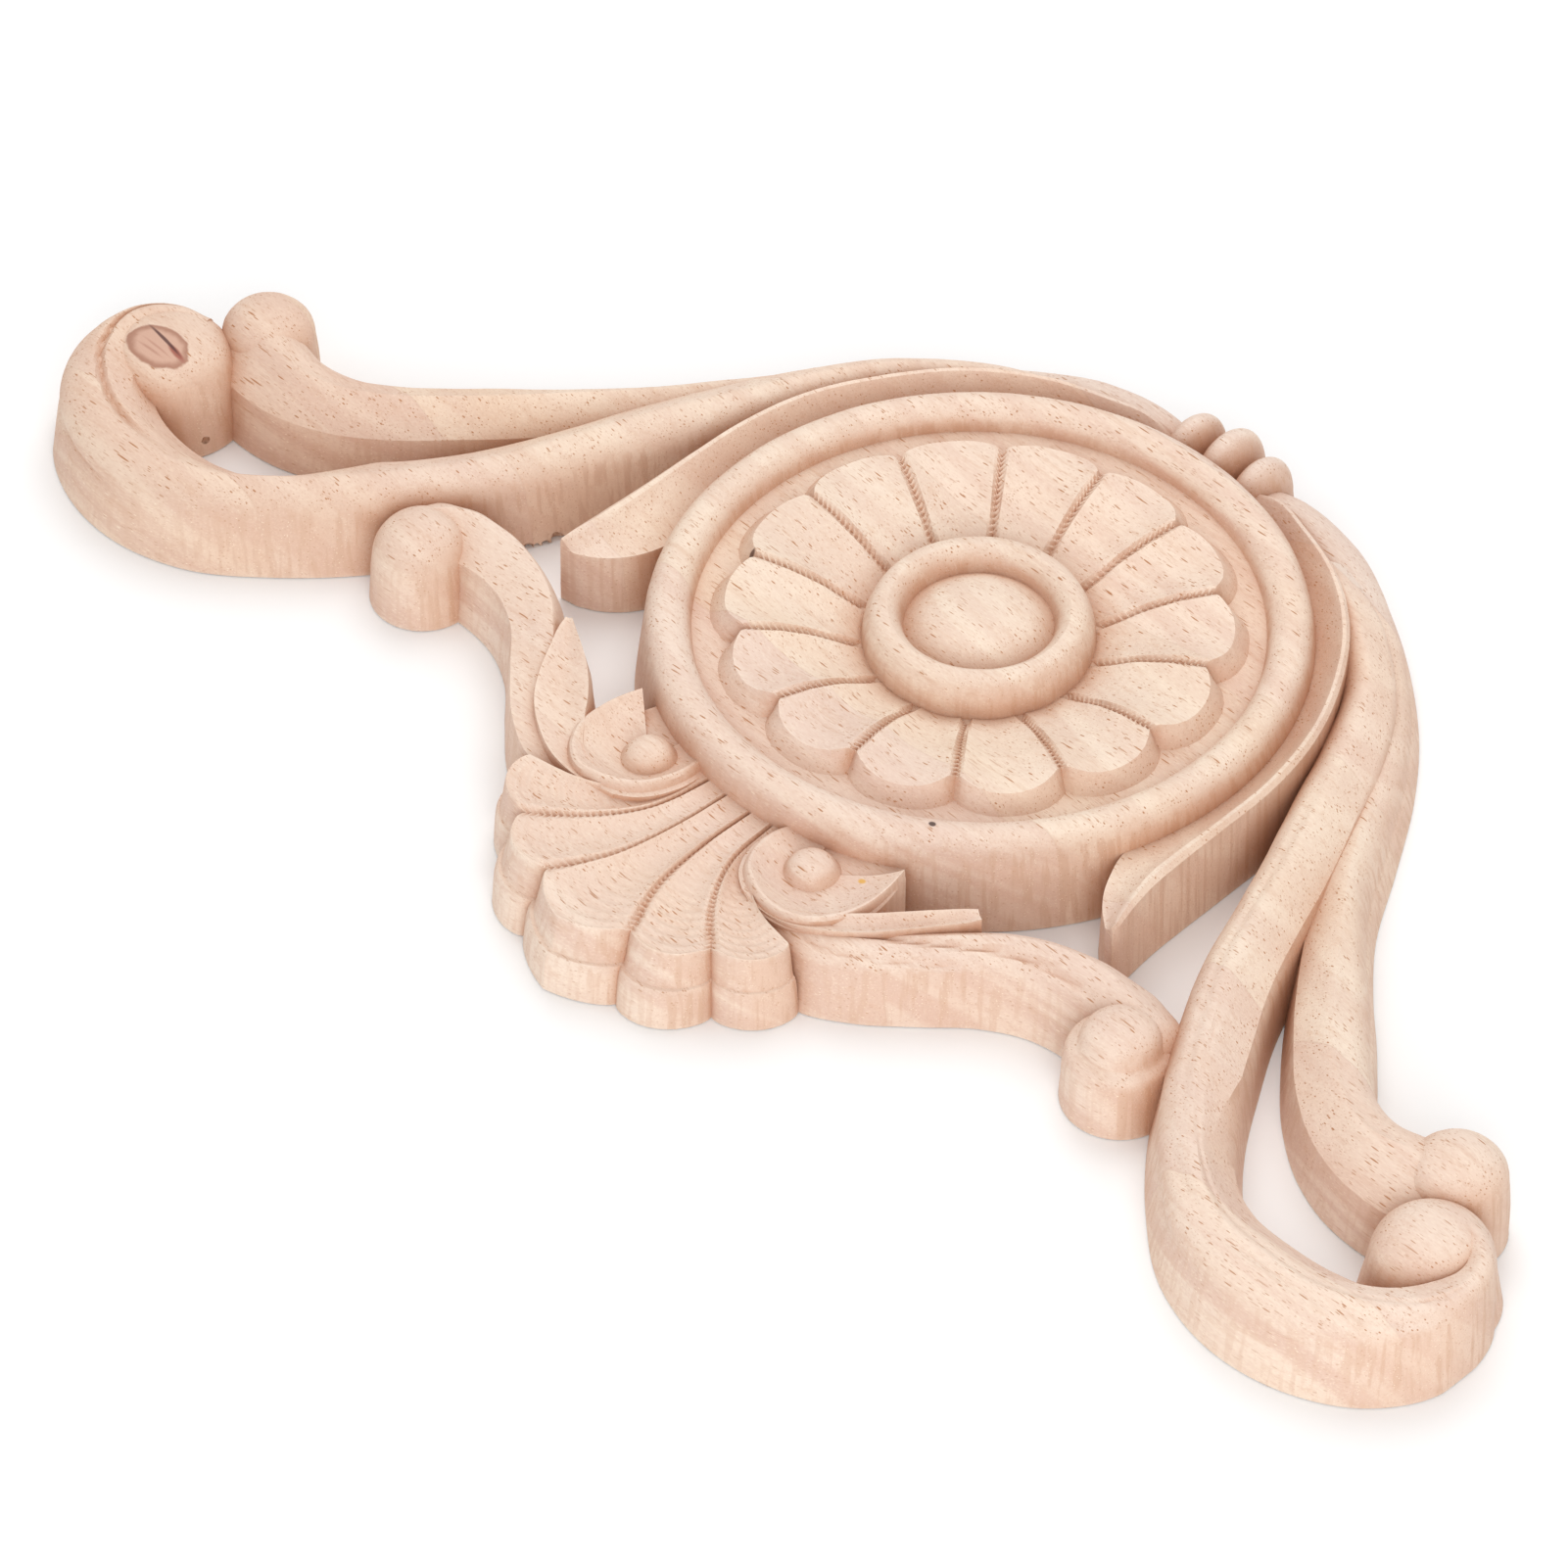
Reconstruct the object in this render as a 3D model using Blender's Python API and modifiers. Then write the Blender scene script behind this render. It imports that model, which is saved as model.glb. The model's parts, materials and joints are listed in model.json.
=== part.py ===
"""Carved wooden applique: a petalled disc, a shell below it and a scrolled arm on each side.

The ornament is one carved piece with a flat back, steep walls and no undercuts.
The origin is on the flat back under the middle of the disc. +Z comes out of the carved face,
+Y points to the three beads at the top and +X runs along the grain to one of the arms.
Each form is a relief solid that reaches below the back. All are joined and cut flat there.
"""

import math

import bmesh
import bpy
import numpy as np

# Driving dimension: radius of the disc's rim, in metres
RIM_RADIUS = 0.052

# How far the relief solids reach below the back before it is cut flat, in metres
BACK_MARGIN = 0.004

# Smallest angle between two faces that reads as a carved edge
EDGE_ANGLE = math.radians(32.0)

# How a band's face curves from a crisp edge up to its crest: 1 is straight, more is rounder
FLAT_CURVE = 1.25

# Plan places and heights from here on are in rim radii, and metres() turns them into metres
WALL_DRAFT = 0.03

# Turned middle of the disc, as radius and height, from the middle outwards
DOME = [(0.0, 0.320), (0.09, 0.315), (0.17, 0.292)]
RING = [(0.227, 0.256), (0.245, 0.303), (0.275, 0.329), (0.310, 0.322), (0.340, 0.275)]
UNDER_PETALS = [(0.352, 0.200), (0.692, 0.200)]
FIELD = [(0.700, 0.249), (0.858, 0.249)]
RIM = [(0.872, 0.292), (0.912, 0.323), (0.955, 0.321), (0.988, 0.290), (1.002, 0.245)]
DISC_FOOT = (1.030, 0.0)
DISC_STEPS = 72

# Rosette
PETALS = 14
PETAL_INNER = 0.30
PETAL_NOTCH = 0.696
PETAL_TIP = 0.762
PETAL_ROUNDNESS = 2.6
PETAL_WALL = 0.055
PETAL_FOOT_HEIGHT = 0.240
PETAL_DISH = 0.016
PETAL_RIDGE = 0.016
PETAL_GROOVE = 0.022
PETAL_ACROSS = (0.0, 0.06, 0.3, 0.7, 0.94)

# A hair of a turn, in radians, keeps the petals' notches off the seam of the turned disc
PETAL_TURN = 0.002
PETAL_ALONG = (0.0, 0.15, 0.4, 0.7, 1.0)

# Height of the grooves between the petals, as radius and height
GROOVE_FALL = [(0.30, 0.170), (0.36, 0.210), (0.48, 0.262), (0.60, 0.298), (0.70, 0.312)]


def metres(value):
    """Rim radii as metres."""
    return value * RIM_RADIUS


def smooth_rows(rows, count):
    """Rows of numbers read at even steps along a smooth curve through the given rows."""
    rows = np.array(rows, dtype=float)
    steps = np.linalg.norm(np.diff(rows[:, :2], axis=0), axis=1)
    knots = np.concatenate(([0.0], np.cumsum(steps)))
    slopes = np.gradient(rows, knots, axis=0)
    places = np.linspace(0.0, knots[-1], count)
    left = np.clip(np.searchsorted(knots, places, side="right") - 1, 0, len(knots) - 2)
    span = (knots[left + 1] - knots[left])[:, None]
    t = (places - knots[left])[:, None] / span
    start = (2 * t ** 3 - 3 * t ** 2 + 1) * rows[left] + (t ** 3 - 2 * t ** 2 + t) * span * slopes[left]
    end = (3 * t ** 2 - 2 * t ** 3) * rows[left + 1] + (t ** 3 - t ** 2) * span * slopes[left + 1]
    return start + end


def finish_object(bm, name, collection):
    """The bmesh as an object of the given collection."""
    bmesh.ops.recalc_face_normals(bm, faces=bm.faces)
    mesh = bpy.data.meshes.new(name)
    bm.to_mesh(mesh)
    bm.free()
    thing = bpy.data.objects.new(name, mesh)
    collection.objects.link(thing)
    return thing


def relief(name, grid, collection, side=1.0, closed=False):
    """A closed solid whose top is a grid of points, with sides dropped to below the back."""
    grid = np.array(grid) * (side, 1.0, 1.0)
    rows, columns = grid.shape[:2]
    bm = bmesh.new()
    bmesh.ops.create_grid(bm, x_segments=columns - 1, y_segments=rows - 1, size=0.5)
    for vert in bm.verts:
        column = round((vert.co.x + 0.5) * (columns - 1))
        row = round((vert.co.y + 0.5) * (rows - 1))
        vert.co = [metres(value) for value in grid[row, column]]
    if closed:
        bmesh.ops.remove_doubles(bm, verts=bm.verts, dist=1e-6)
    made = bmesh.ops.extrude_face_region(bm, geom=list(bm.faces), use_keep_orig=True)
    top = {item for item in made["geom"] if isinstance(item, bmesh.types.BMVert)}
    for vert in bm.verts:
        if vert not in top:
            vert.co.z = -BACK_MARGIN
    return finish_object(bm, name, collection)


def turned(name, profile, centre, steps, collection, stretch=1.0):
    """A turned solid with its axis along Z, from a profile of radius and height."""
    bm = bmesh.new()
    verts = [bm.verts.new((metres(r), 0.0, metres(z))) for r, z in profile]
    verts.append(bm.verts.new((metres(profile[-1][0]), 0.0, -BACK_MARGIN)))
    verts.append(bm.verts.new((0.0, 0.0, -BACK_MARGIN)))
    for first, second in zip(verts, verts[1:]):
        bm.edges.new((first, second))
    mesh = bpy.data.meshes.new(name)
    bm.to_mesh(mesh)
    bm.free()
    thing = bpy.data.objects.new(name, mesh)
    thing.location = (metres(centre[0]), metres(centre[1]), 0.0)
    thing.scale = (1.0, stretch, 1.0)
    collection.objects.link(thing)
    screw = thing.modifiers.new("Turn", "SCREW")
    screw.steps = steps
    screw.render_steps = steps
    screw.use_merge_vertices = True
    screw.merge_threshold = 0.00001
    return thing


def shoulder(t, side, edge, place, crest, roundness):
    """A point between a band's edge and its crest: a quarter round, or a flat curve from a crisp edge."""
    turn = t * math.pi / 2.0
    across = roundness * (1.0 - math.cos(turn)) + (1.0 - roundness) * t
    rise = roundness * math.sin(turn) + (1.0 - roundness) * (1.0 - (1.0 - t) ** FLAT_CURVE)
    return side + across * (place - side), edge + rise * (crest - edge)


def band(name, rows, steps, near, far, collection, side, near_round=1.0, far_round=0.0):
    """A carved band. Each row is near x, near y, far x, far y, near edge height, crest place
    across, crest height, far edge height, bevel width and bevel foot height."""
    grid = []
    for row in smooth_rows(rows, steps):
        start, end = row[0:2], row[2:4]
        edge, place, crest, last, bevel, foot = row[4:10]
        width = np.linalg.norm(end - start)
        draft = min(WALL_DRAFT / width, 0.25 * place)
        far_draft = min(WALL_DRAFT / width, 0.3 * (1.0 - place))
        across = [(0.0, 0.0)]
        for index in range(near + 1):
            across.append(shoulder(index / near, draft, edge, place, crest, near_round))
        brow = 1.0 - max(bevel / width, far_draft)
        for index in range(far - 1, -1, -1):
            across.append(shoulder(index / far, brow, last, place, crest, far_round))
        foot_inset = max(0.6 * far_draft, bevel / width / 3.0)
        across.append((1.0 - foot_inset, min(foot, last - 0.02)))
        across.append((1.0, 0.0))
        grid.append([(*(start + s * (end - start)), height) for s, height in across])
    return relief(name, grid, collection, side)


def rosette(collection):
    """The ring of dished petals, as one relief around the middle."""
    width = 2.0 * math.pi / PETALS
    columns = [(petal, across) for petal in range(PETALS) for across in PETAL_ACROSS]
    columns.append((PETALS, 0.0))
    grid = []
    for along in PETAL_ALONG:
        grid.append([petal_point(along, across, width * (petal + across)) for petal, across in columns])
    foot = []
    for petal, across in columns:
        radius = petal_radius(across) + PETAL_WALL
        foot.append((*turn_place(radius, width * (petal + across)), PETAL_FOOT_HEIGHT))
    grid.append(foot)
    return relief("rosette", grid, collection, closed=True)


def turn_place(radius, angle):
    """Plan place at a radius. The angle counts from the top, half a petal round."""
    turn = math.pi / 2.0 + math.pi / PETALS + PETAL_TURN + angle
    return radius * math.cos(turn), radius * math.sin(turn)


def petal_radius(across):
    """Radius of the petals' top edge across one petal."""
    return PETAL_TIP - (PETAL_TIP - PETAL_NOTCH) * abs(2.0 * across - 1.0) ** PETAL_ROUNDNESS


def petal_point(along, across, angle):
    """A point on the dished top of a petal."""
    radius = PETAL_INNER + along * (petal_radius(across) - PETAL_INNER)
    height = np.interp(radius, *zip(*GROOVE_FALL))
    middle = 1.0 - (2.0 * across - 1.0) ** 2
    height += (PETAL_RIDGE - PETAL_DISH * middle) * math.sin(math.pi * min(along, 0.8) / 1.6)
    if across == 0.0:
        height -= PETAL_GROOVE
    return *turn_place(radius, angle), height


# Strap that hugs the rim and ends in a tongue: inner foot, outer foot and ridge height
STRAP = [
    # inner x, inner y, outer x, outer y, ridge height
    (-0.10, 0.950, -0.10, 1.030, 0.21),
    (0.13, 0.950, 0.14, 1.035, 0.22),
    (0.23, 0.930, 0.26, 1.040, 0.265),
    (0.37, 0.880, 0.42, 0.99, 0.285),
    (0.56, 0.776, 0.64, 0.895, 0.295),
    (0.705, 0.644, 0.82, 0.75, 0.30),
    (0.825, 0.480, 0.96, 0.56, 0.30),
    (0.913, 0.280, 1.07, 0.33, 0.305),
    (0.951, 0.085, 1.12, 0.10, 0.30),
    (0.950, -0.10, 1.13, -0.12, 0.295),
    (0.920, -0.255, 1.135, -0.30, 0.290),
    (0.905, -0.345, 1.140, -0.42, 0.286),
    (0.922, -0.445, 1.150, -0.515, 0.276),
    (0.968, -0.528, 1.158, -0.575, 0.265),
    (1.035, -0.590, 1.160, -0.610, 0.254),
    (1.095, -0.620, 1.155, -0.628, 0.248),
]
STRAP_STEPS = 24
STRAP_FLOOR = 0.216
STRAP_DRAFT = 0.10
STRAP_COVE = 0.80
STRAP_ACROSS = (STRAP_DRAFT, 0.40, 0.65, STRAP_COVE)
STRAP_LIP = (0.92, 0.003)


def strap(collection, side):
    """The strap, a cove that rises from the rim to a crisp outer ridge."""
    grid = []
    for row in smooth_rows(STRAP, STRAP_STEPS):
        inner, outer, ridge = row[0:2], row[2:4], row[4]
        line = [(*inner, 0.0)]
        for across in STRAP_ACROSS:
            share = (across - STRAP_DRAFT) / (STRAP_COVE - STRAP_DRAFT)
            height = STRAP_FLOOR + (ridge - STRAP_FLOOR) * share ** 2
            line.append((*(inner + across * (outer - inner)), height))
        line.append((*(inner + STRAP_LIP[0] * (outer - inner)), ridge - STRAP_LIP[1]))
        line.append((*outer, 0.0))
        grid.append(line)
    return relief("strap", grid, collection, side)


# Big C scroll: near side faces the disc and runs round the outside, far side faces the gap
SCROLL = [
    # near x, near y, far x, far y, near edge, crest place, crest, far edge, bevel, bevel foot
    (0.50, 0.86, 0.60, 1.02, 0.20, 0.5, 0.262, 0.220, 0.0, 0.20),
    (0.70, 0.74, 0.84, 0.90, 0.18, 0.5, 0.268, 0.220, 0.0, 0.20),
    (0.90, 0.58, 1.07, 0.70, 0.18, 0.5, 0.275, 0.220, 0.0, 0.20),
    (1.01, 0.37, 1.22, 0.48, 0.18, 0.5, 0.280, 0.220, 0.0, 0.20),
    (1.11, 0.13, 1.36, 0.21, 0.18, 0.5, 0.282, 0.218, 0.0, 0.19),
    (1.21, -0.10, 1.465, -0.02, 0.18, 0.5, 0.285, 0.215, 0.0, 0.18),
    (1.29, -0.31, 1.545, -0.23, 0.18, 0.5, 0.285, 0.212, 0.0, 0.18),
    (1.37, -0.52, 1.63, -0.43, 0.18, 0.48, 0.285, 0.210, 0.0, 0.18),
    (1.495, -0.76, 1.745, -0.63, 0.18, 0.48, 0.288, 0.212, 0.0, 0.17),
    (1.64, -0.98, 1.872, -0.825, 0.18, 0.5, 0.292, 0.240, 0.05, 0.17),
    (1.83, -1.19, 2.02, -0.985, 0.18, 0.48, 0.296, 0.258, 0.105, 0.175),
    (2.05, -1.36, 2.165, -1.06, 0.17, 0.44, 0.299, 0.266, 0.130, 0.185),
    (2.30, -1.43, 2.31, -1.075, 0.17, 0.44, 0.300, 0.268, 0.125, 0.19),
    (2.555, -1.395, 2.45, -1.055, 0.18, 0.44, 0.300, 0.268, 0.105, 0.20),
    (2.75, -1.28, 2.57, -0.995, 0.20, 0.48, 0.302, 0.272, 0.07, 0.20),
    (2.86, -1.10, 2.64, -0.93, 0.23, 0.5, 0.300, 0.275, 0.03, 0.2),
    (2.866, -0.965, 2.66, -0.88, 0.25, 0.45, 0.302, 0.280, 0.03, 0.2),
    (2.825, -0.835, 2.65, -0.85, 0.26, 0.45, 0.304, 0.280, 0.03, 0.2),
    (2.735, -0.745, 2.62, -0.84, 0.25, 0.45, 0.300, 0.280, 0.03, 0.2),
    (2.62, -0.705, 2.57, -0.83, 0.23, 0.45, 0.290, 0.280, 0.03, 0.2),
]

# Tendril: near side faces the scroll, far side is the outer outline
TENDRIL = [
    # near x, near y, far x, far y, near edge, crest place, crest, far edge, bevel, bevel foot
    (0.12, 0.98, 0.15, 1.170, 0.17, 0.4, 0.205, 0.14, 0.02, 0.10),
    (0.24, 0.96, 0.28, 1.180, 0.19, 0.4, 0.238, 0.16, 0.02, 0.12),
    (0.44, 0.90, 0.535, 1.145, 0.20, 0.4, 0.242, 0.15, 0.02, 0.11),
    (0.66, 0.80, 0.795, 1.020, 0.20, 0.4, 0.215, 0.11, 0.02, 0.08),
    (0.88, 0.66, 1.050, 0.810, 0.18, 0.4, 0.192, 0.10, 0.02, 0.08),
    (1.06, 0.47, 1.245, 0.58, 0.18, 0.45, 0.195, 0.09, 0.02, 0.07),
    (1.205, 0.24, 1.415, 0.312, 0.18, 0.5, 0.208, 0.09, 0.02, 0.07),
    (1.335, 0.01, 1.565, 0.060, 0.18, 0.55, 0.234, 0.10, 0.02, 0.08),
    (1.465, -0.18, 1.712, -0.112, 0.17, 0.55, 0.246, 0.12, 0.02, 0.10),
    (1.595, -0.36, 1.852, -0.25, 0.17, 0.5, 0.258, 0.14, 0.02, 0.12),
    (1.725, -0.52, 1.96, -0.365, 0.18, 0.5, 0.265, 0.15, 0.02, 0.13),
    (1.88, -0.68, 2.05, -0.46, 0.18, 0.5, 0.272, 0.17, 0.02, 0.13),
    (2.045, -0.795, 2.143, -0.525, 0.18, 0.5, 0.280, 0.18, 0.02, 0.13),
    (2.21, -0.855, 2.255, -0.556, 0.18, 0.5, 0.296, 0.20, 0.02, 0.13),
    (2.38, -0.865, 2.40, -0.53, 0.18, 0.55, 0.314, 0.20, 0.02, 0.13),
    (2.52, -0.84, 2.50, -0.55, 0.18, 0.6, 0.318, 0.20, 0.02, 0.13),
]

# S arm from the shell to the ball: near side is the lower outline, far side faces the disc
ARM = [
    # near x, near y, far x, far y, near edge, crest place, crest, far edge, bevel, bevel foot
    (0.42, -1.33, 0.50, -1.08, 0.195, 0.60, 0.235, 0.20, 0.0, 0.18),
    (0.58, -1.335, 0.62, -1.04, 0.20, 0.60, 0.242, 0.20, 0.0, 0.18),
    (0.72, -1.26, 0.76, -0.95, 0.205, 0.63, 0.254, 0.205, 0.0, 0.18),
    (0.87, -1.13, 0.87, -0.855, 0.215, 0.67, 0.264, 0.205, 0.0, 0.18),
    (1.00, -1.01, 0.985, -0.77, 0.218, 0.69, 0.271, 0.205, 0.0, 0.18),
    (1.13, -0.94, 1.12, -0.715, 0.215, 0.69, 0.276, 0.205, 0.0, 0.18),
    (1.26, -0.92, 1.29, -0.68, 0.21, 0.67, 0.280, 0.205, 0.0, 0.18),
    (1.36, -0.93, 1.455, -0.69, 0.195, 0.57, 0.283, 0.21, 0.0, 0.18),
    (1.42, -0.95, 1.575, -0.745, 0.185, 0.5, 0.279, 0.21, 0.0, 0.18),
    (1.44, -0.98, 1.600, -0.84, 0.18, 0.5, 0.262, 0.21, 0.0, 0.18),
    (1.45, -1.00, 1.560, -0.90, 0.17, 0.5, 0.235, 0.20, 0.0, 0.18),
]

# Turned bosses, as radius and height
HEAD = [(0.0, 0.316), (0.07, 0.309), (0.125, 0.283), (0.163, 0.237), (0.187, 0.12), (0.208, 0.0)]
VOLUTE = [(0.0, 0.335), (0.05, 0.329), (0.10, 0.309), (0.138, 0.265), (0.158, 0.0)]
BALL = [(0.0, 0.302), (0.06, 0.293), (0.105, 0.262), (0.130, 0.205), (0.138, 0.170), (0.156, 0.145),
        (0.166, 0.0)]
EYE = [(0.0, 0.272), (0.035, 0.267), (0.066, 0.247), (0.086, 0.210), (0.097, 0.0)]
EYE_PLACE = (0.345, -1.055)
BOSSES = [
    # name, profile, plan place, steps
    ("head", HEAD, (2.605, -0.860), 24),
    ("volute", VOLUTE, (2.476, -0.617), 24),
    ("ball", BALL, (1.46, -0.912), 22),
    ("eye", EYE, EYE_PLACE, 14),
]

# Egg shaped beads at the top: middle x, half width, reach from the middle, crest height
MIDDLE_BEAD = (0.0, 0.074, 1.240, 0.322)
SIDE_BEAD = (0.138, 0.070, 1.215, 0.303)
BEAD_START = 0.94
BEAD_WAIST = 0.13
BEAD_ROWS = 4
BEAD_STEPS = 14


def bead(name, centre, half, reach, crest, collection):
    """An egg shaped bead lying outwards from the rim, with a wall below its widest line."""
    profile = []
    for index in range(BEAD_ROWS + 1):
        turn = index / BEAD_ROWS * math.pi / 2.0
        profile.append((half * math.sin(turn), BEAD_WAIST + (crest - BEAD_WAIST) * math.cos(turn)))
    profile.append((half + 0.01, 0.0))
    stretch = 0.5 * (reach - BEAD_START) / half
    return turned(name, profile, (centre, 0.5 * (reach + BEAD_START)), BEAD_STEPS, collection, stretch)


# Shell: groove lines of the right half, from the rim to the notches between the lobes
GROOVES = [
    [(0.000, -0.97), (0.000, -1.20), (0.000, -1.43), (0.000, -1.62)],
    [(0.048, -0.97), (0.055, -1.20), (0.090, -1.42), (0.172, -1.60)],
    [(0.130, -0.97), (0.165, -1.20), (0.265, -1.37), (0.385, -1.49)],
    [(0.175, -0.97), (0.250, -1.20), (0.400, -1.30), (0.540, -1.33)],
]
NOTCHES = [(0.0, -1.730), (0.182, -1.682), (0.420, -1.520), (0.585, -1.335)]
LOBE_TOP_REACH = (0.065, 0.055, 0.055)
LOBE_FOOT_REACH = (0.065, 0.082, 0.07)
LOBE_ANGLES = (-90.0, -62.0, -38.0)
LOBE_ACROSS = (0.0, 0.08, 0.35, 0.65, 0.92)

# Height of the shell along a groove line, with the share of the way from the rim
SHELL_RISE = [(0.0, 0.205), (0.3, 0.225), (0.8, 0.25), (1.0, 0.25)]
SHELL_DISH = 0.018
SHELL_GROOVE = 0.026
SHELL_ALONG = 6

# Rounded front of the shell, as share of the way out to the foot and height
SHELL_FRONT = [(0.16, 0.239), (0.45, 0.203), (0.74, 0.140), (1.0, 0.0)]


def shell(collection):
    """Dished lobes between V grooves, with a rounded scalloped front."""
    lines = [smooth_rows(groove, SHELL_ALONG) for groove in GROOVES]
    columns = [(lobe, across) for lobe in range(len(LOBE_ANGLES)) for across in LOBE_ACROSS]
    columns.append((len(LOBE_ANGLES) - 1, 1.0))
    grid = []
    for row in range(SHELL_ALONG):
        along = row / (SHELL_ALONG - 1)
        line = []
        for lobe, across in columns:
            bulge = lobe_bulge(lobe, across)
            place = (1.0 - across) * lines[lobe][row] + across * lines[lobe + 1][row]
            place = place + lobe_direction(lobe) * LOBE_TOP_REACH[lobe] * bulge * along ** 4
            height = np.interp(along, *zip(*SHELL_RISE))
            height -= SHELL_DISH * bulge * math.sin(math.pi * along)
            if across == 0.0 and lobe > 0:
                height -= SHELL_GROOVE * min(1.0, 3.0 * (1.0 - along) + 0.65)
            line.append((*place, height))
        grid.append(line)
    edge = grid[-1]
    for reach, height in SHELL_FRONT:
        line = []
        for top, (lobe, across) in zip(edge, columns):
            foot = (1.0 - across) * np.array(NOTCHES[lobe]) + across * np.array(NOTCHES[lobe + 1])
            foot = foot + lobe_direction(lobe) * LOBE_FOOT_REACH[lobe] * lobe_bulge(lobe, across)
            line.append((*(top[:2] + reach * (foot - top[:2])), min(height, top[2])))
        grid.append(line)
    whole = [[(-x, y, z) for x, y, z in reversed(line[1:])] + line for line in grid]
    return relief("shell", whole, collection)


def lobe_bulge(lobe, across):
    """How far a column bulges out. The first lobe is the right half of the middle one."""
    if lobe == 0:
        return 1.0 - across ** 2
    return 1.0 - (2.0 * across - 1.0) ** 2


def lobe_direction(lobe):
    """Direction in plan in which a lobe bulges."""
    angle = math.radians(LOBE_ANGLES[lobe])
    return np.array((math.cos(angle), math.sin(angle)))


# Dished scroll beside the shell: rim points around the ball eye and their height, from the wing tip
DISH_RIM = [
    (0.555, -0.900, 0.266),
    (0.566, -0.975, 0.264),
    (0.570, -1.060, 0.262),
    (0.545, -1.155, 0.262),
    (0.495, -1.222, 0.262),
    (0.410, -1.254, 0.262),
    (0.325, -1.238, 0.260),
    (0.235, -1.182, 0.256),
    (0.195, -1.090, 0.248),
    (0.192, -1.010, 0.236),
    (0.200, -0.960, 0.226),
]
DISH_STEPS = 15
DISH_ACROSS = (0.35, 0.65, 0.85, 1.0)
DISH_FLOOR = 0.208
DISH_LIP = 0.018
DISH_LIP_FALL = 0.012


def dish(collection, side):
    """The hollow round the eye, rising from the eye's foot to a thin raised rim."""
    eye = np.array(EYE_PLACE)
    grid = []
    for row in smooth_rows(DISH_RIM, DISH_STEPS):
        rim, top = row[:2], row[2]
        line = []
        for share in DISH_ACROSS:
            height = DISH_FLOOR + (top - DISH_FLOOR) * share ** 3
            line.append((*(eye + share * (rim - eye)), height))
        outward = (rim - eye) / np.linalg.norm(rim - eye)
        line.append((*(rim + DISH_LIP * outward), top - DISH_LIP_FALL))
        line.append((*(rim + 2.0 * DISH_LIP * outward), 0.0))
        grid.append(line)
    return relief("dish", grid, collection, side)


# Leaf between the dish and the S arm: near side is the lower outline
LEAF = [
    # near x, near y, far x, far y, near edge, crest place, crest, far edge, bevel, bevel foot
    (0.27, -1.265, 0.26, -1.18, 0.225, 0.5, 0.212, 0.225, 0.01, 0.20),
    (0.36, -1.294, 0.365, -1.205, 0.235, 0.5, 0.222, 0.235, 0.01, 0.21),
    (0.475, -1.294, 0.45, -1.19, 0.246, 0.5, 0.233, 0.247, 0.01, 0.22),
    (0.60, -1.245, 0.535, -1.115, 0.255, 0.5, 0.241, 0.260, 0.01, 0.23),
    (0.70, -1.167, 0.60, -1.045, 0.262, 0.5, 0.246, 0.270, 0.01, 0.23),
    (0.775, -1.074, 0.67, -0.98, 0.268, 0.5, 0.252, 0.276, 0.01, 0.24),
    (0.834, -0.980, 0.74, -0.928, 0.272, 0.5, 0.260, 0.281, 0.01, 0.24),
    (0.870, -0.914, 0.80, -0.887, 0.276, 0.5, 0.269, 0.282, 0.01, 0.24),
    (0.884, -0.875, 0.845, -0.858, 0.276, 0.5, 0.274, 0.282, 0.005, 0.24),
]


def build_side(side, forms):
    """The reliefs of one arm, with side 1 for the +X half and -1 for the other."""
    strap(forms, side)
    band("scroll", SCROLL, 35, 3, 1, forms, side, near_round=1.0, far_round=0.0)
    band("tendril", TENDRIL, 26, 1, 3, forms, side, near_round=0.0, far_round=0.8)
    band("arm", ARM, 16, 1, 1, forms, side, near_round=0.0, far_round=0.2)
    band("leaf", LEAF, 11, 1, 1, forms, side, near_round=0.0)
    dish(forms, side)
    for name, profile, (x, y), steps in BOSSES:
        turned(name, profile, (side * x, y), steps, forms)
    bead("side_bead", side * SIDE_BEAD[0], *SIDE_BEAD[1:], forms)


def wood_material():
    """Pale unfinished rubberwood."""
    material = bpy.data.materials.new("rubberwood")
    material.use_nodes = True
    shader = material.node_tree.nodes["Principled BSDF"]
    shader.inputs["Base Color"].default_value = (0.80, 0.58, 0.42, 1.0)
    shader.inputs["Roughness"].default_value = 0.62
    shader.inputs["Metallic"].default_value = 0.0
    return material


def back_cutter(collection):
    """A block whose top face is the plane of the flat back."""
    width, thickness = 1.0, 0.1
    bm = bmesh.new()
    bmesh.ops.create_cube(bm, size=1.0)
    cutter = finish_object(bm, "back_cut", collection)
    cutter.scale = (width, width, thickness)
    cutter.location = (0.0, 0.0, -thickness / 2.0)
    return cutter


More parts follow.
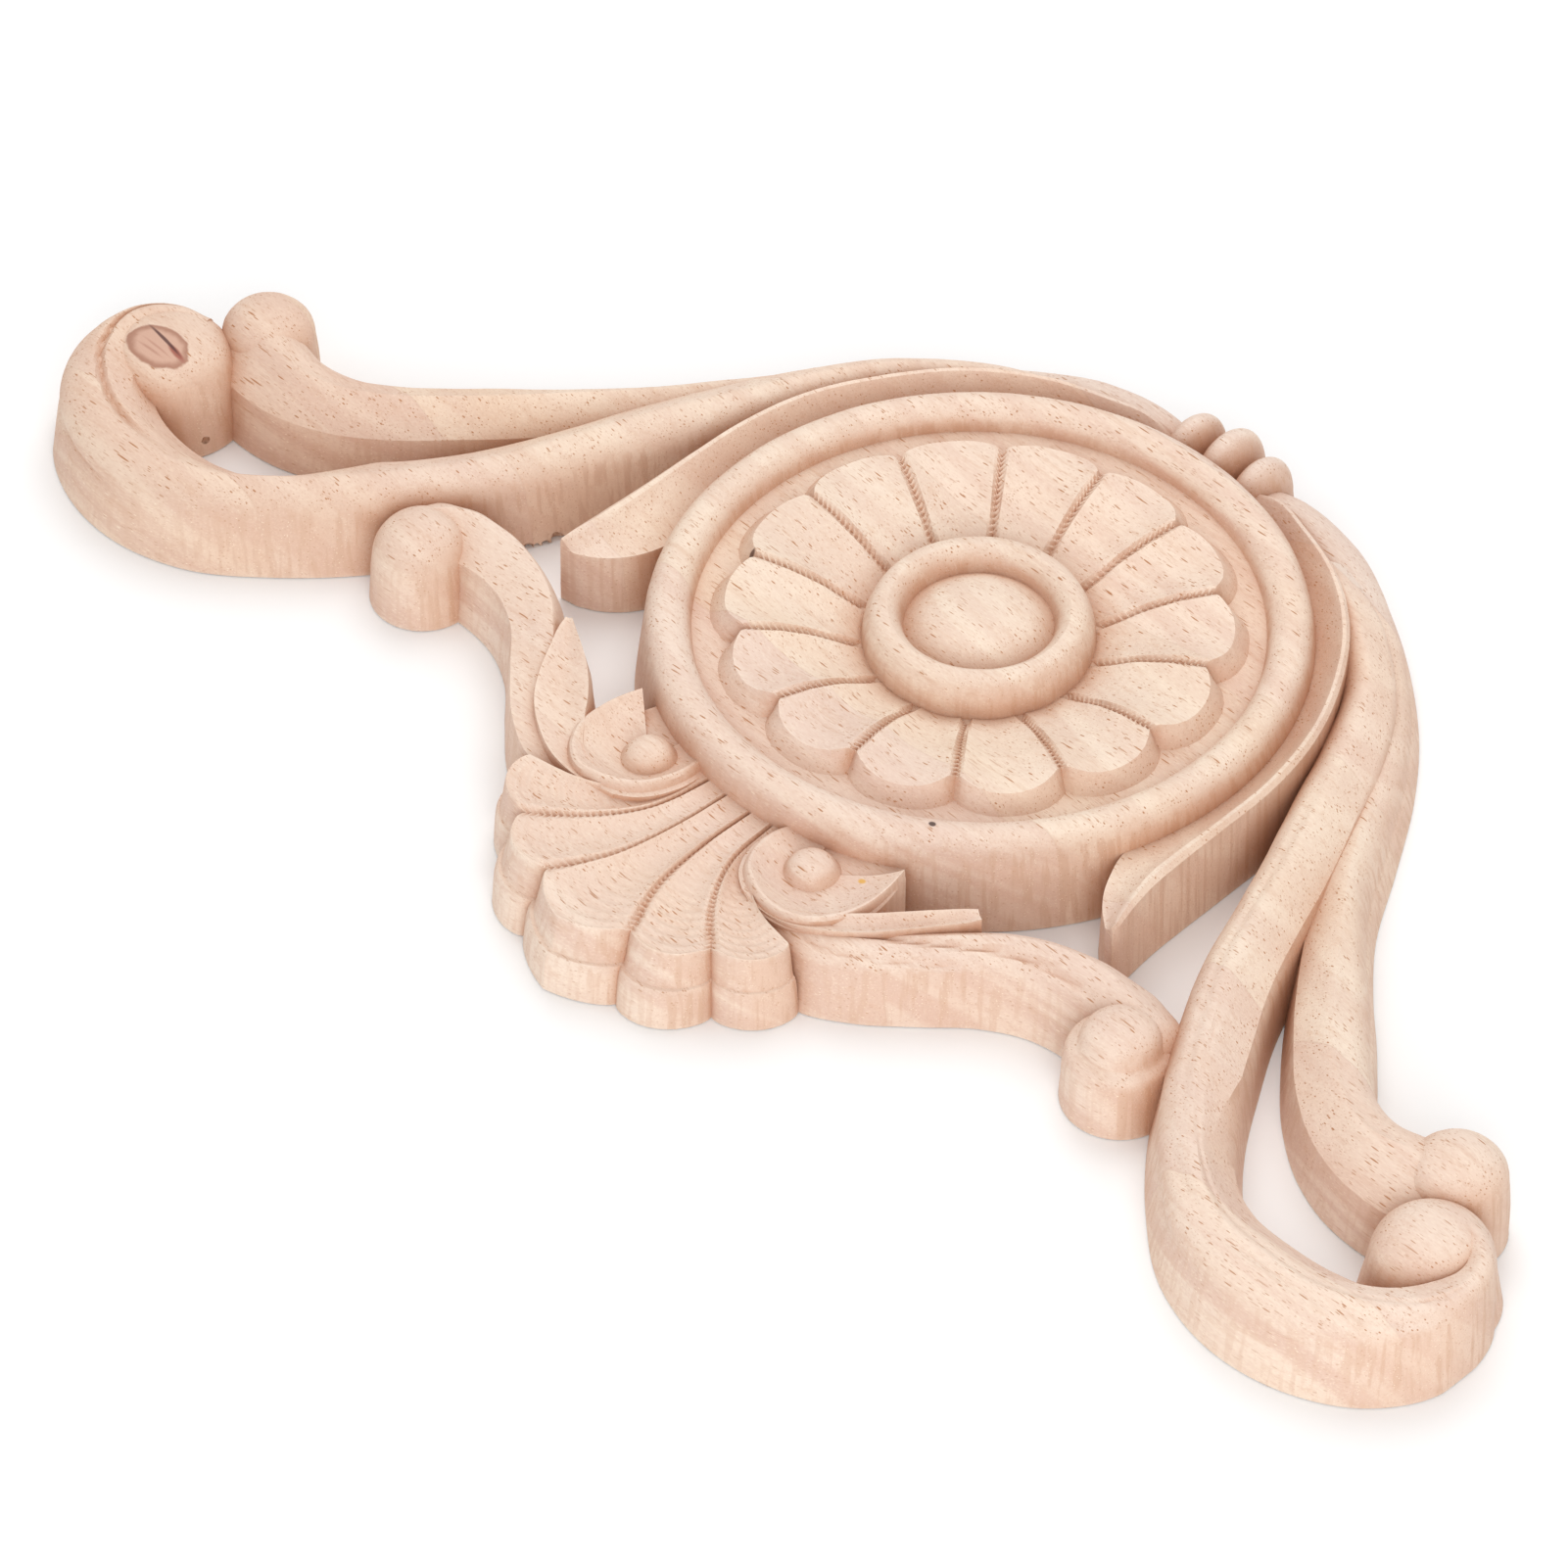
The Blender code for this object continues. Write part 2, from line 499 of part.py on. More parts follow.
def main():
    """Builds the applique."""
    for old in list(bpy.data.objects):
        bpy.data.objects.remove(old)
    shown = bpy.data.collections.new("wood_applique")
    forms = bpy.data.collections.new("relief_forms")
    cuts = bpy.data.collections.new("cutters")
    for collection in (shown, forms, cuts):
        bpy.context.scene.collection.children.link(collection)

    profile = DOME + RING + UNDER_PETALS + FIELD + RIM + [DISC_FOOT]
    applique = turned("carved_applique", profile, (0.0, 0.0), DISC_STEPS, shown)
    rosette(forms)
    shell(forms)
    bead("middle_bead", *MIDDLE_BEAD, forms)
    for side in (1.0, -1.0):
        build_side(side, forms)

    join = applique.modifiers.new("Join", "BOOLEAN")
    join.operation = "UNION"
    join.operand_type = "COLLECTION"
    join.collection = forms
    join.solver = "EXACT"
    flat = applique.modifiers.new("Flat back", "BOOLEAN")
    flat.operation = "DIFFERENCE"
    flat.object = back_cutter(cuts)
    flat.solver = "EXACT"

    for hidden in list(forms.objects) + list(cuts.objects):
        hidden.hide_render = True
        hidden.display_type = "WIRE"
    applique.data.shade_smooth()
    applique.data.set_sharp_from_angle(angle=EDGE_ANGLE)
    applique.data.materials.append(wood_material())


main()
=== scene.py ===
"""Dressed model of the carved wooden applique: the fine carving, bare rubberwood, and a studio.

The frame's one solid is replaced by a finer one, made from the same rows of named sizes.
Plan places and heights are in rim radii, as in the part's source, and metres() turns them
into metres. Every form is a closed relief solid that reaches below the back. All are joined,
cut flat at the back and given the small unevenness of hand work.
"""

import json
import math

import bmesh
import bpy
import numpy as np
from mathutils import Matrix, Vector, noise

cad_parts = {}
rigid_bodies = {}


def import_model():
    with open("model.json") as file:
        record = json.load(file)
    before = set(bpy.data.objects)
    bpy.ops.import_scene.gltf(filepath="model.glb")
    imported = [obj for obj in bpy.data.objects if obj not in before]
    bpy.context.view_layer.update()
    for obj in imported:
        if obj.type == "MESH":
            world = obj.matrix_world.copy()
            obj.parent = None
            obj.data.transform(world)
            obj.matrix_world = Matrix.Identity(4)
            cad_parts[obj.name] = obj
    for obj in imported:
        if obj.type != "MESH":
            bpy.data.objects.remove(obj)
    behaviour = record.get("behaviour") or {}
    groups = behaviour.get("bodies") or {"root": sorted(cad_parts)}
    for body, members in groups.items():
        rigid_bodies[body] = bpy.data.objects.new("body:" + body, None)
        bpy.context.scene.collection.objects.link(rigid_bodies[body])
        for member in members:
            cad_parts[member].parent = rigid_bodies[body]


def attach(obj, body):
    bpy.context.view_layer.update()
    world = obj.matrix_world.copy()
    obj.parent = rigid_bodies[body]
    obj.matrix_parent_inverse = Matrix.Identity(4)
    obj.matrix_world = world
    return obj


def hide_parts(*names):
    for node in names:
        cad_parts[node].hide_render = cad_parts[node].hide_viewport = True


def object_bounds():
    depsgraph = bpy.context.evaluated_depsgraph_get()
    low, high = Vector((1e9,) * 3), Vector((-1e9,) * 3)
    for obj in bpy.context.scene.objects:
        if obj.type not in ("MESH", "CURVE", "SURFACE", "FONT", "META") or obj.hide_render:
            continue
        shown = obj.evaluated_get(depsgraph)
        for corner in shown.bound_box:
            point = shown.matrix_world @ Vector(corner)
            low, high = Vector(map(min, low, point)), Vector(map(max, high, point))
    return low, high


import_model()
CAD_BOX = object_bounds()

# Driving size, and what the joining of the forms and the cut at the back take, in metres
RIM_RADIUS = 0.052
BACK_MARGIN = 0.004
BACK_CUT_DEPTH = 0.1
MERGE_REACH = 0.000002
SEAM_REACH = 0.000001
TURN_SEAM_REACH = 0.00001
SOLVER = "MANIFOLD"

# Walls and edges of the carved bands
WALL_DRAFT = 0.03
WALL_ROWS = 4
NEAR_DRAFT_MOST = 0.25
FAR_DRAFT_MOST = 0.3
FOOT_INSET = 0.6
BEVEL_INSET = 3.0
FOOT_DROP = 0.02
NEAR_WALL_SHARE = 0.4
FLAT_CURVE = 1.25
EDGE_ANGLE = math.radians(27.0)

# Unevenness of hand work: noise a metre, the fine noise's share, depth, and the height it starts at
UNEVEN_FINE = 400.0
UNEVEN_COARSE = 120.0
UNEVEN_FINE_SHARE = 0.4
UNEVEN_DEPTH = 0.00008
UNEVEN_START = 0.0002

# Camera, fitted to the photograph: pixel focal length, angles, and target and distance in rim radii
IMAGE_SIZE = 1601
FOCAL_PIXELS = 8336.4
CAMERA_AZIMUTH = 0.791124
CAMERA_ELEVATION = 0.782663
CAMERA_ROLL = 0.00209048
CAMERA_TARGET = (-0.10912, -0.708403, 0.0)
CAMERA_DISTANCE = 24.2162
SENSOR_WIDTH = 36.0
CLIP_RANGE = (0.01, 20.0)

# Studio, in metres and watts: floor, world, and each light's place, size and power
FLOOR_REACH = 3.0
FLOOR_DROP = 0.0002
FLOOR_COLOUR = (0.93, 0.93, 0.93, 1.0)
FLOOR_ROUGHNESS = 0.9
WORLD_COLOUR = (1.0, 1.0, 1.0, 1.0)
WORLD_STRENGTH = 0.67
LIGHTS = [
    ("top_light", (-0.35, 0.45, 0.95), 0.9, 5.7),
    ("front_light", (0.75, -0.75, 0.55), 0.8, 6.6),
]

# Turned middle of the disc, as radius and height, from the middle outwards
DOME = [(0.0, 0.322), (0.09, 0.316), (0.168, 0.291), (0.225, 0.253)]
RING = [(0.225, 0.253), (0.245, 0.303), (0.275, 0.329), (0.310, 0.322), (0.340, 0.275), (0.352, 0.200)]
UNDER_PETALS = [(0.400, 0.200), (0.692, 0.200)]
FIELD = [(0.700, 0.249), (0.780, 0.249), (0.858, 0.249)]
RIM = [(0.858, 0.249), (0.872, 0.292), (0.912, 0.323), (0.955, 0.321), (0.988, 0.290), (1.002, 0.245)]
DISC_WALL = [(1.009, 0.180), (1.016, 0.120), (1.023, 0.060), (1.030, 0.0)]
DISC_STEPS = 224
DOME_POINTS = 12
RING_POINTS = 18
RIM_POINTS = 16

# Wood: colours, painted crease shade, strip joints across the board, and how grain, pores and crease shade
# are scaled
WOOD_PALE = (0.825, 0.672, 0.566, 1.0)
WOOD_PINK = (0.715, 0.515, 0.425, 1.0)
WOOD_YELLOW = (0.81, 0.625, 0.485, 1.0)
WOOD_STREAK = (0.66, 0.44, 0.32, 1.0)
WOOD_END = (0.71, 0.48, 0.355, 1.0)
WOOD_DARK = (0.42, 0.24, 0.15, 1.0)
WOOD_PORE = (0.44, 0.20, 0.09, 1.0)
# Painted shade: the colour that the creases are darkened towards
CREASE_SHADE_COLOUR = (0.46, 0.19, 0.08, 1.0)
WOOD_FUZZ = (0.90, 0.76, 0.62, 1.0)
WOOD_TAN = (0.90, 0.80, 0.72, 1.0)
TAN_REACH = (-0.05, -0.11)
TAN_SHARE = 0.5
STRIP_JOINTS = [(-1.19, 0.37), (-0.53, 0.61), (0.33, 0.29), (0.94, 0.53)]
FIRST_STRIP = 0.5
STRIP_TINTS = {"Red": (5.0, 0.015), "Green": (5.6, 0.025), "Blue": (6.4, 0.035)}
FIBRE_SCALE = (35.0, 900.0, 900.0)
FIBRE_BUMP_SCALE = (90.0, 1600.0, 1600.0)
GRAIN_SCALE = (900.0, 3600.0, 3600.0)
FIGURE_SCALE = (10.0, 55.0, 55.0)
WALL_STREAK_SCALE = (850.0, 850.0, 32.0)
FUZZ_SCALE = (900.0, 900.0, 900.0)
HEART_DEPTH = 0.07
HEART_LEAN = 0.12
BAND_RATE = 190.0
BAND_STRETCH = 5.0
BAND_WAVER = 0.012
BAND_WAVER_SCALE = (14.0, 30.0, 30.0)
CREASE_SHADE_REACH = 0.005
EDGE_REACH = 0.0007

# Shares of the tones. Steep wood adds the second share of the bands. The streaks show on steep
# wood only, and end grain adds their second share
BAND_SHARES = (0.5, 0.45)
STREAK_SHARES = (0.35, 0.65)
JOINT_SHARE = 0.12
END_GRAIN_SHARE = 0.55

# Bump, and the shader's own gloss
BUMP_DEPTH = 0.00022
BUMP_STRENGTH = 0.5
FIBRE_BUMP = 0.5
GRAIN_BUMP = 0.6
WOOD_SPECULAR = 0.25

# Range that a value is read from, and the range that it is carried to
RAMPS = {
    "steep": (0.25, 0.75, 1.0, 0.0),
    "end grain": (0.35, 0.95, 0.0, 1.0),
    "joint": (0.00005, 0.00022, 1.0, 0.0),
    "bands": (0.42, 0.58, 0.0, 1.0),
    "figure": (0.45, 0.75, 0.0, 0.5),
    "fibres": (0.5, 0.78, 0.0, 0.45),
    "dark grain": (0.52, 0.72, 0.0, 0.28),
    "pale grain": (0.48, 0.30, 0.0, 0.35),
    "wall streaks": (0.47, 0.62, 0.0, 0.9),
    # The crease reading carries the painted shade in the creases
    "crease": (0.25, 0.95, 0.68, 0.0),
    "edge": (0.25, 0.6, 0.7, 0.0),
    "roughness": (0.3, 0.7, 0.58, 0.72),
}

# Pores: how their rows waver, how much fainter they are on walls, and where their edge starts
PORE_WAVER_SCALE = (12.0, 25.0, 25.0)
PORE_WAVER = (0.0, 0.0025, 0.0025)
PORE_WALL_LOSS = 0.6
PORE_CORE = 0.7
PORE_LAYERS = [
    # cells a metre along X, cells a metre across, reach in cells, least and most cover, pale on walls
    (100.0, 1150.0, 0.17, 0.0, 1.0, False),
    (190.0, 1600.0, 0.20, -0.1, 1.0, False),
    (330.0, 2500.0, 0.21, 0.0, 0.9, True),
    (500.0, 4200.0, 0.23, 0.0, 0.6, False),
]

# Marks: how their edge wavers and where it ends, and their share of the tone
MARK_WAVER_SCALE = (500.0, 500.0, 500.0)
MARK_WAVER = 0.25
MARK_EDGE = 1.15
MARK_SHARE = 0.9
MARKS = [
    # centre and reach in rim radii, turn about Z, colour, share of the reach in which it fades out
    ((-2.604, -0.956, 0.31), (0.114, 0.080, 0.2), 0.07, (0.38, 0.18, 0.12, 1.0), 0.10),
    ((-2.602, -0.955, 0.31), (0.104, 0.069, 0.2), 0.07, (0.64, 0.40, 0.30, 1.0), 0.30),
    ((-2.610, -0.983, 0.31), (0.075, 0.007, 0.2), 0.02, (0.48, 0.26, 0.19, 1.0), 0.8),
    ((-2.600, -0.962, 0.31), (0.085, 0.006, 0.2), -0.04, (0.50, 0.27, 0.20, 1.0), 0.8),
    ((-2.540, -0.938, 0.31), (0.052, 0.015, 0.2), -0.17, (0.34, 0.10, 0.07, 1.0), 0.6),
    ((-2.606, -0.925, 0.31), (0.105, 0.008, 0.2), -0.15, (0.10, 0.04, 0.035, 1.0), 0.6),
    ((-0.660, -0.300, 0.30), (0.012, 0.010, 0.1), 0.0, (0.12, 0.06, 0.04, 1.0), 0.5),
    ((0.541, -0.747, 0.30), (0.014, 0.012, 0.1), 0.0, (0.05, 0.02, 0.015, 1.0), 0.4),
    ((0.493, -0.986, 0.25), (0.018, 0.013, 0.1), 0.0, (0.72, 0.40, 0.08, 1.0), 0.5),
]
# Painted shade in the chips and the hole, and the share of its reach in which it fades out
CHIP_SHADE_COLOUR = (0.22, 0.10, 0.05, 1.0)
CHIP_SHADE_FADE = 0.6

# Rosette
PETALS = 14
PETAL_INNER = 0.30
PETAL_NOTCH = 0.696
PETAL_TIP = 0.762
PETAL_ROUNDNESS = 2.6
PETAL_WALL = 0.055
PETAL_FOOT_HEIGHT = 0.240
PETAL_WALL_SHARES = (0.12, 0.5, 1.0)
PETAL_WALL_SWELL = 0.08
PETAL_DISH = 0.031
PETAL_RIDGE = 0.018
PETAL_PEAK = 0.8
PETAL_TURN = 0.002
PETAL_ROWS = 84
PETAL_GROOVE = 0.025
PETAL_GROOVE_REACH = 0.016
PETAL_GROOVE_POWER = 0.7
CHATTER_DEPTH = 0.0050
CHATTER_PITCH = 0.019
CHATTER_SLANT = 0.1

# Places of the mesh columns across one petal or lobe, close together by the grooves
NEAR_GROOVE = [0.0, 0.022, 0.045, 0.07, 0.11, 0.20, 0.31, 0.41]
ACROSS = NEAR_GROOVE + [0.5] + [1.0 - place for place in reversed(NEAR_GROOVE[1:])]
GROOVE_FALL = [(0.30, 0.170), (0.36, 0.210), (0.48, 0.262), (0.60, 0.298), (0.70, 0.312)]


def metres(value):
    """Rim radii as metres."""
    return value * RIM_RADIUS


def smooth_rows(rows, count):
    """Rows of numbers read at even steps along a smooth curve through the given rows."""
    rows = np.array(rows, dtype=float)
    steps = np.linalg.norm(np.diff(rows[:, :2], axis=0), axis=1)
    knots = np.concatenate(([0.0], np.cumsum(steps)))
    slopes = np.gradient(rows, knots, axis=0)
    places = np.linspace(0.0, knots[-1], count)
    left = np.clip(np.searchsorted(knots, places, side="right") - 1, 0, len(knots) - 2)
    span = (knots[left + 1] - knots[left])[:, None]
    t = (places - knots[left])[:, None] / span
    start = (2 * t ** 3 - 3 * t ** 2 + 1) * rows[left] + (t ** 3 - 2 * t ** 2 + t) * span * slopes[left]
    end = (3 * t ** 2 - 2 * t ** 3) * rows[left + 1] + (t ** 3 - t ** 2) * span * slopes[left + 1]
    return start + end


def finish_object(bm, name, collection):
    """The bmesh as an object of the given collection."""
    bmesh.ops.recalc_face_normals(bm, faces=bm.faces)
    mesh = bpy.data.meshes.new(name)
    bm.to_mesh(mesh)
    bm.free()
    thing = bpy.data.objects.new(name, mesh)
    collection.objects.link(thing)
    return thing


def relief(name, grid, collection, side=1.0, closed=False):
    """A closed solid whose top is a grid of points, with sides dropped to below the back."""
    grid = np.array(grid) * (side, 1.0, 1.0)
    rows, columns = grid.shape[:2]
    bm = bmesh.new()
    bmesh.ops.create_grid(bm, x_segments=columns - 1, y_segments=rows - 1, size=0.5)
    for vert in bm.verts:
        column = round((vert.co.x + 0.5) * (columns - 1))
        row = round((vert.co.y + 0.5) * (rows - 1))
        vert.co = [metres(value) for value in grid[row, column]]
    if closed:
        bmesh.ops.remove_doubles(bm, verts=bm.verts, dist=SEAM_REACH)
    made = bmesh.ops.extrude_face_region(bm, geom=list(bm.faces), use_keep_orig=True)
    top = {item for item in made["geom"] if isinstance(item, bmesh.types.BMVert)}
    for vert in bm.verts:
        if vert not in top:
            vert.co.z = -BACK_MARGIN
    return finish_object(bm, name, collection)


def turned(name, profile, centre, steps, collection, stretch=1.0):
    """A turned solid with its axis along Z, from a profile of radius and height."""
    bm = bmesh.new()
    verts = [bm.verts.new((metres(r), 0.0, metres(z))) for r, z in profile]
    verts.append(bm.verts.new((metres(profile[-1][0]), 0.0, -BACK_MARGIN)))
    verts.append(bm.verts.new((0.0, 0.0, -BACK_MARGIN)))
    for first, second in zip(verts, verts[1:]):
        bm.edges.new((first, second))
    mesh = bpy.data.meshes.new(name)
    bm.to_mesh(mesh)
    bm.free()
    thing = bpy.data.objects.new(name, mesh)
    thing.location = (metres(centre[0]), metres(centre[1]), 0.0)
    thing.scale = (1.0, stretch, 1.0)
    collection.objects.link(thing)
    screw = thing.modifiers.new("Turn", "SCREW")
    screw.steps = steps
    screw.render_steps = steps
    screw.use_merge_vertices = True
    screw.merge_threshold = TURN_SEAM_REACH
    return thing


def shoulder(t, side, edge, place, crest, roundness):
    """A point between a band's edge and its crest: a quarter round, or a flat curve from a crisp edge."""
    turn = t * math.pi / 2.0
    across = roundness * (1.0 - math.cos(turn)) + (1.0 - roundness) * t
    rise = roundness * math.sin(turn) + (1.0 - roundness) * (1.0 - (1.0 - t) ** FLAT_CURVE)
    return side + across * (place - side), edge + rise * (crest - edge)


def straight(start, end, count):
    """Points on the way from start to end, without the last one."""
    start, end = np.array(start), np.array(end)
    return [tuple(start + index / count * (end - start)) for index in range(count)]


def band(name, rows, collection, side, near_round=1.0, far_round=0.0, carve=None):
    """A carved band. Each row is near x, near y, far x, far y, near edge height, crest place
    across, crest height, far edge height, bevel width and bevel foot height."""
    steps, near, far = BAND_GRIDS[name]
    grid = []
    for number, row in enumerate(smooth_rows(rows, steps)):
        start, end = row[0:2], row[2:4]
        edge, place, crest, last, bevel, foot = row[4:10]
        width = np.linalg.norm(end - start)
        draft = min(WALL_DRAFT / width, NEAR_DRAFT_MOST * place)
        far_draft = min(WALL_DRAFT / width, FAR_DRAFT_MOST * (1.0 - place))
        across = straight((0.0, 0.0), (draft, edge), WALL_ROWS)
        for index in range(near + 1):
            across.append(shoulder(index / near, draft, edge, place, crest, near_round))
        brow = 1.0 - max(bevel / width, far_draft)
        for index in range(far - 1, -1, -1):
            across.append(shoulder(index / far, brow, last, place, crest, far_round))
        foot_inset = max(FOOT_INSET * far_draft, bevel / width / BEVEL_INSET)
        foot_point = (1.0 - foot_inset, min(foot, last - FOOT_DROP))
        across.extend(straight(across[-1], foot_point, 2)[1:])
        across.extend(straight(foot_point, (1.0, 0.0), WALL_ROWS))
        across.append((1.0, 0.0))
        line = []
        for share, height in across:
            push, drop = carve(number / (steps - 1), share, height) if carve else (0.0, 0.0)
            line.append((*(start + (share + push / width) * (end - start)), height - drop))
        grid.append(line)
    return relief(name, grid, collection, side)


def creased(creases, flanks):
    """A carve function that presses creases into a band's top, and others into its near wall."""
    def carve(along, share, height):
        drop = sum(hollow(along, share, *crease) for crease in creases)
        push = sum(hollow(along, height, *flank) for flank in flanks) if share < NEAR_WALL_SHARE else 0.0
        return push, drop
    return carve


def hollow(along, place, points, depth, reach):
    """Depth of a crease at a place. Its points are along the band and across it, or up its wall."""
    places, lines = zip(*points)
    if not places[0] < along < places[-1]:
        return 0.0
    fade = min(1.0, (along - places[0]) / CREASE_FADE, (places[-1] - along) / CREASE_FADE)
    return depth * fade * math.exp(-((place - np.interp(along, places, lines)) / reach) ** 2)


def rosette(collection):
    """The ring of dished petals, as one relief around the middle."""
    width = 2.0 * math.pi / PETALS
    columns = [(petal, across) for petal in range(PETALS) for across in ACROSS]
    columns.append((PETALS, 0.0))
    grid = []
    for row in range(PETAL_ROWS):
        along = row / (PETAL_ROWS - 1)
        grid.append([petal_point(along, across, width * (petal + across)) for petal, across in columns])
    for share in PETAL_WALL_SHARES:
        foot = []
        for top, (petal, across) in zip(grid[PETAL_ROWS - 1], columns):
            radius = petal_radius(across) + PETAL_WALL * share
            fall = share + PETAL_WALL_SWELL * math.sin(math.pi * share)
            height = top[2] + (PETAL_FOOT_HEIGHT - top[2]) * fall
            foot.append((*turn_place(radius, width * (petal + across)), height))
        grid.append(foot)
    return relief("rosette", grid, collection, closed=True)


def turn_place(radius, angle):
    """Plan place at a radius. The angle counts from the top, half a petal round."""
    turn = math.pi / 2.0 + math.pi / PETALS + PETAL_TURN + angle
    return radius * math.cos(turn), radius * math.sin(turn)


def petal_radius(across):
    """Radius of the petals' top edge across one petal."""
    return PETAL_TIP - (PETAL_TIP - PETAL_NOTCH) * abs(2.0 * across - 1.0) ** PETAL_ROUNDNESS


def petal_point(along, across, angle):
    """A point on the dished top of a petal."""
    radius = PETAL_INNER + along * (petal_radius(across) - PETAL_INNER)
    height = np.interp(radius, *zip(*GROOVE_FALL))
    middle = 1.0 - (2.0 * across - 1.0) ** 2
    rise = math.sin(0.5 * math.pi * min(along, PETAL_PEAK) / PETAL_PEAK)
    height += (PETAL_RIDGE - PETAL_DISH * middle) * rise
    aside = radius * 2.0 * math.pi / PETALS * min(across, 1.0 - across)
    height -= groove_depth(aside, radius, across < 0.5) * PETAL_GROOVE
    return *turn_place(radius, angle), height


def groove_depth(aside, along, turned_left):
    """Depth of a gouged groove, one on its line and none aside, with the gouge's slanting chatter."""
    share = max(0.0, 1.0 - aside / PETAL_GROOVE_REACH)
    slant = aside if turned_left else -aside
    chatter = CHATTER_DEPTH / PETAL_GROOVE * math.sin(2.0 * math.pi * (along + slant) / CHATTER_PITCH)
    return share ** PETAL_GROOVE_POWER * (1.0 + chatter)


# Strap that hugs the rim and ends in a tongue: inner foot, outer foot and ridge height
STRAP = [
    # inner x, inner y, outer x, outer y, ridge height
    (-0.10, 0.950, -0.10, 1.030, 0.21),
    (0.03, 0.955, 0.03, 1.030, 0.21),
    (0.13, 0.950, 0.14, 1.035, 0.22),
    (0.23, 0.930, 0.26, 1.040, 0.265),
    (0.37, 0.880, 0.42, 0.99, 0.285),
    (0.56, 0.776, 0.64, 0.895, 0.295),
    (0.705, 0.644, 0.82, 0.75, 0.30),
    (0.825, 0.480, 0.96, 0.56, 0.30),
    (0.913, 0.280, 1.07, 0.33, 0.305),
    (0.951, 0.085, 1.12, 0.10, 0.30),
    (0.950, -0.10, 1.13, -0.12, 0.295),
    (0.920, -0.255, 1.135, -0.30, 0.290),
    (0.905, -0.345, 1.140, -0.42, 0.286),
    (0.922, -0.445, 1.150, -0.515, 0.276),
    (0.968, -0.528, 1.158, -0.575, 0.265),
    (1.035, -0.590, 1.160, -0.610, 0.254),
    (1.095, -0.620, 1.155, -0.628, 0.248),
]
STRAP_STEPS = 150

# How far the inner foot of the right tongue's last rows lies from the left one's
TONGUE_SHIFT = [(0.012, 0.0), (0.032, 0.005), (0.034, 0.010), (0.026, 0.012), (0.012, 0.008)]
STRAP_FLOOR = 0.216
STRAP_COVE = 0.80
STRAP_RIDGE = [(0.87, 0.003), (0.945, -0.012)]
STRAP_DRAFT = 0.10
STRAP_COLUMNS = 11


def strap(collection, side):
    """The strap, a cove that rises from the rim to a crisp outer ridge."""
    grid = []
    rows = np.array(STRAP)
    if side > 0.0:
        rows[-len(TONGUE_SHIFT):, :2] += TONGUE_SHIFT
    for row in smooth_rows(rows, STRAP_STEPS):
        inner, outer, ridge = row[0:2], row[2:4], row[4]
        across = straight((0.0, 0.0), (STRAP_DRAFT, STRAP_FLOOR), WALL_ROWS)
        for index in range(STRAP_COLUMNS + 1):
            share = index / STRAP_COLUMNS
            place = STRAP_DRAFT + share * (STRAP_COVE - STRAP_DRAFT)
            across.append((place, STRAP_FLOOR + (ridge - STRAP_FLOOR) * share ** 2))
        across.extend((place, ridge + rise) for place, rise in STRAP_RIDGE)
        across.extend(straight(across[-1], (1.0, 0.0), WALL_ROWS)[1:])
        across.append((1.0, 0.0))
        grid.append([(*(inner + place * (outer - inner)), height) for place, height in across])
    return relief("strap", grid, collection, side)


# Big C scroll: near side faces the disc and runs round the outside, far side faces the gap
SCROLL = [
    # near x, near y, far x, far y, near edge, crest place, crest, far edge, bevel, bevel foot
    (0.50, 0.86, 0.60, 1.02, 0.20, 0.5, 0.262, 0.220, 0.0, 0.20),
    (0.70, 0.74, 0.84, 0.90, 0.18, 0.5, 0.268, 0.220, 0.0, 0.20),
    (0.90, 0.58, 1.07, 0.70, 0.18, 0.5, 0.275, 0.220, 0.0, 0.20),
    (1.01, 0.37, 1.22, 0.48, 0.18, 0.5, 0.280, 0.220, 0.0, 0.20),
    (1.11, 0.13, 1.36, 0.21, 0.18, 0.5, 0.282, 0.218, 0.0, 0.19),
    (1.21, -0.10, 1.465, -0.02, 0.18, 0.5, 0.285, 0.215, 0.0, 0.18),
    (1.29, -0.31, 1.545, -0.23, 0.18, 0.5, 0.285, 0.212, 0.0, 0.18),
    (1.37, -0.52, 1.63, -0.43, 0.18, 0.48, 0.285, 0.210, 0.0, 0.18),
    (1.495, -0.76, 1.745, -0.63, 0.18, 0.48, 0.288, 0.212, 0.0, 0.17),
    (1.64, -0.98, 1.872, -0.825, 0.18, 0.5, 0.292, 0.240, 0.05, 0.17),
    (1.83, -1.19, 2.02, -0.985, 0.18, 0.48, 0.296, 0.258, 0.105, 0.175),
    (2.05, -1.36, 2.165, -1.06, 0.17, 0.44, 0.299, 0.266, 0.130, 0.185),
    (2.30, -1.43, 2.31, -1.075, 0.17, 0.44, 0.300, 0.268, 0.125, 0.19),
    (2.555, -1.395, 2.45, -1.055, 0.18, 0.44, 0.300, 0.268, 0.105, 0.20),
    (2.75, -1.28, 2.57, -0.995, 0.20, 0.48, 0.302, 0.272, 0.07, 0.20),
    (2.86, -1.10, 2.64, -0.93, 0.23, 0.5, 0.300, 0.275, 0.03, 0.2),
    (2.866, -0.965, 2.66, -0.88, 0.25, 0.45, 0.302, 0.280, 0.03, 0.2),
    (2.825, -0.835, 2.65, -0.85, 0.26, 0.45, 0.304, 0.280, 0.03, 0.2),
    (2.735, -0.745, 2.62, -0.84, 0.25, 0.45, 0.300, 0.280, 0.03, 0.2),
    (2.62, -0.705, 2.57, -0.83, 0.23, 0.45, 0.290, 0.280, 0.03, 0.2),
]

# How far the far side of the right scroll's rows by the head lies from the left one's
SCROLL_SHIFT_START = 13
SCROLL_SHIFT = [(0.015, -0.020), (0.035, -0.045), (0.055, -0.045),
                (0.060, -0.030), (0.050, -0.010), (0.020, 0.0)]

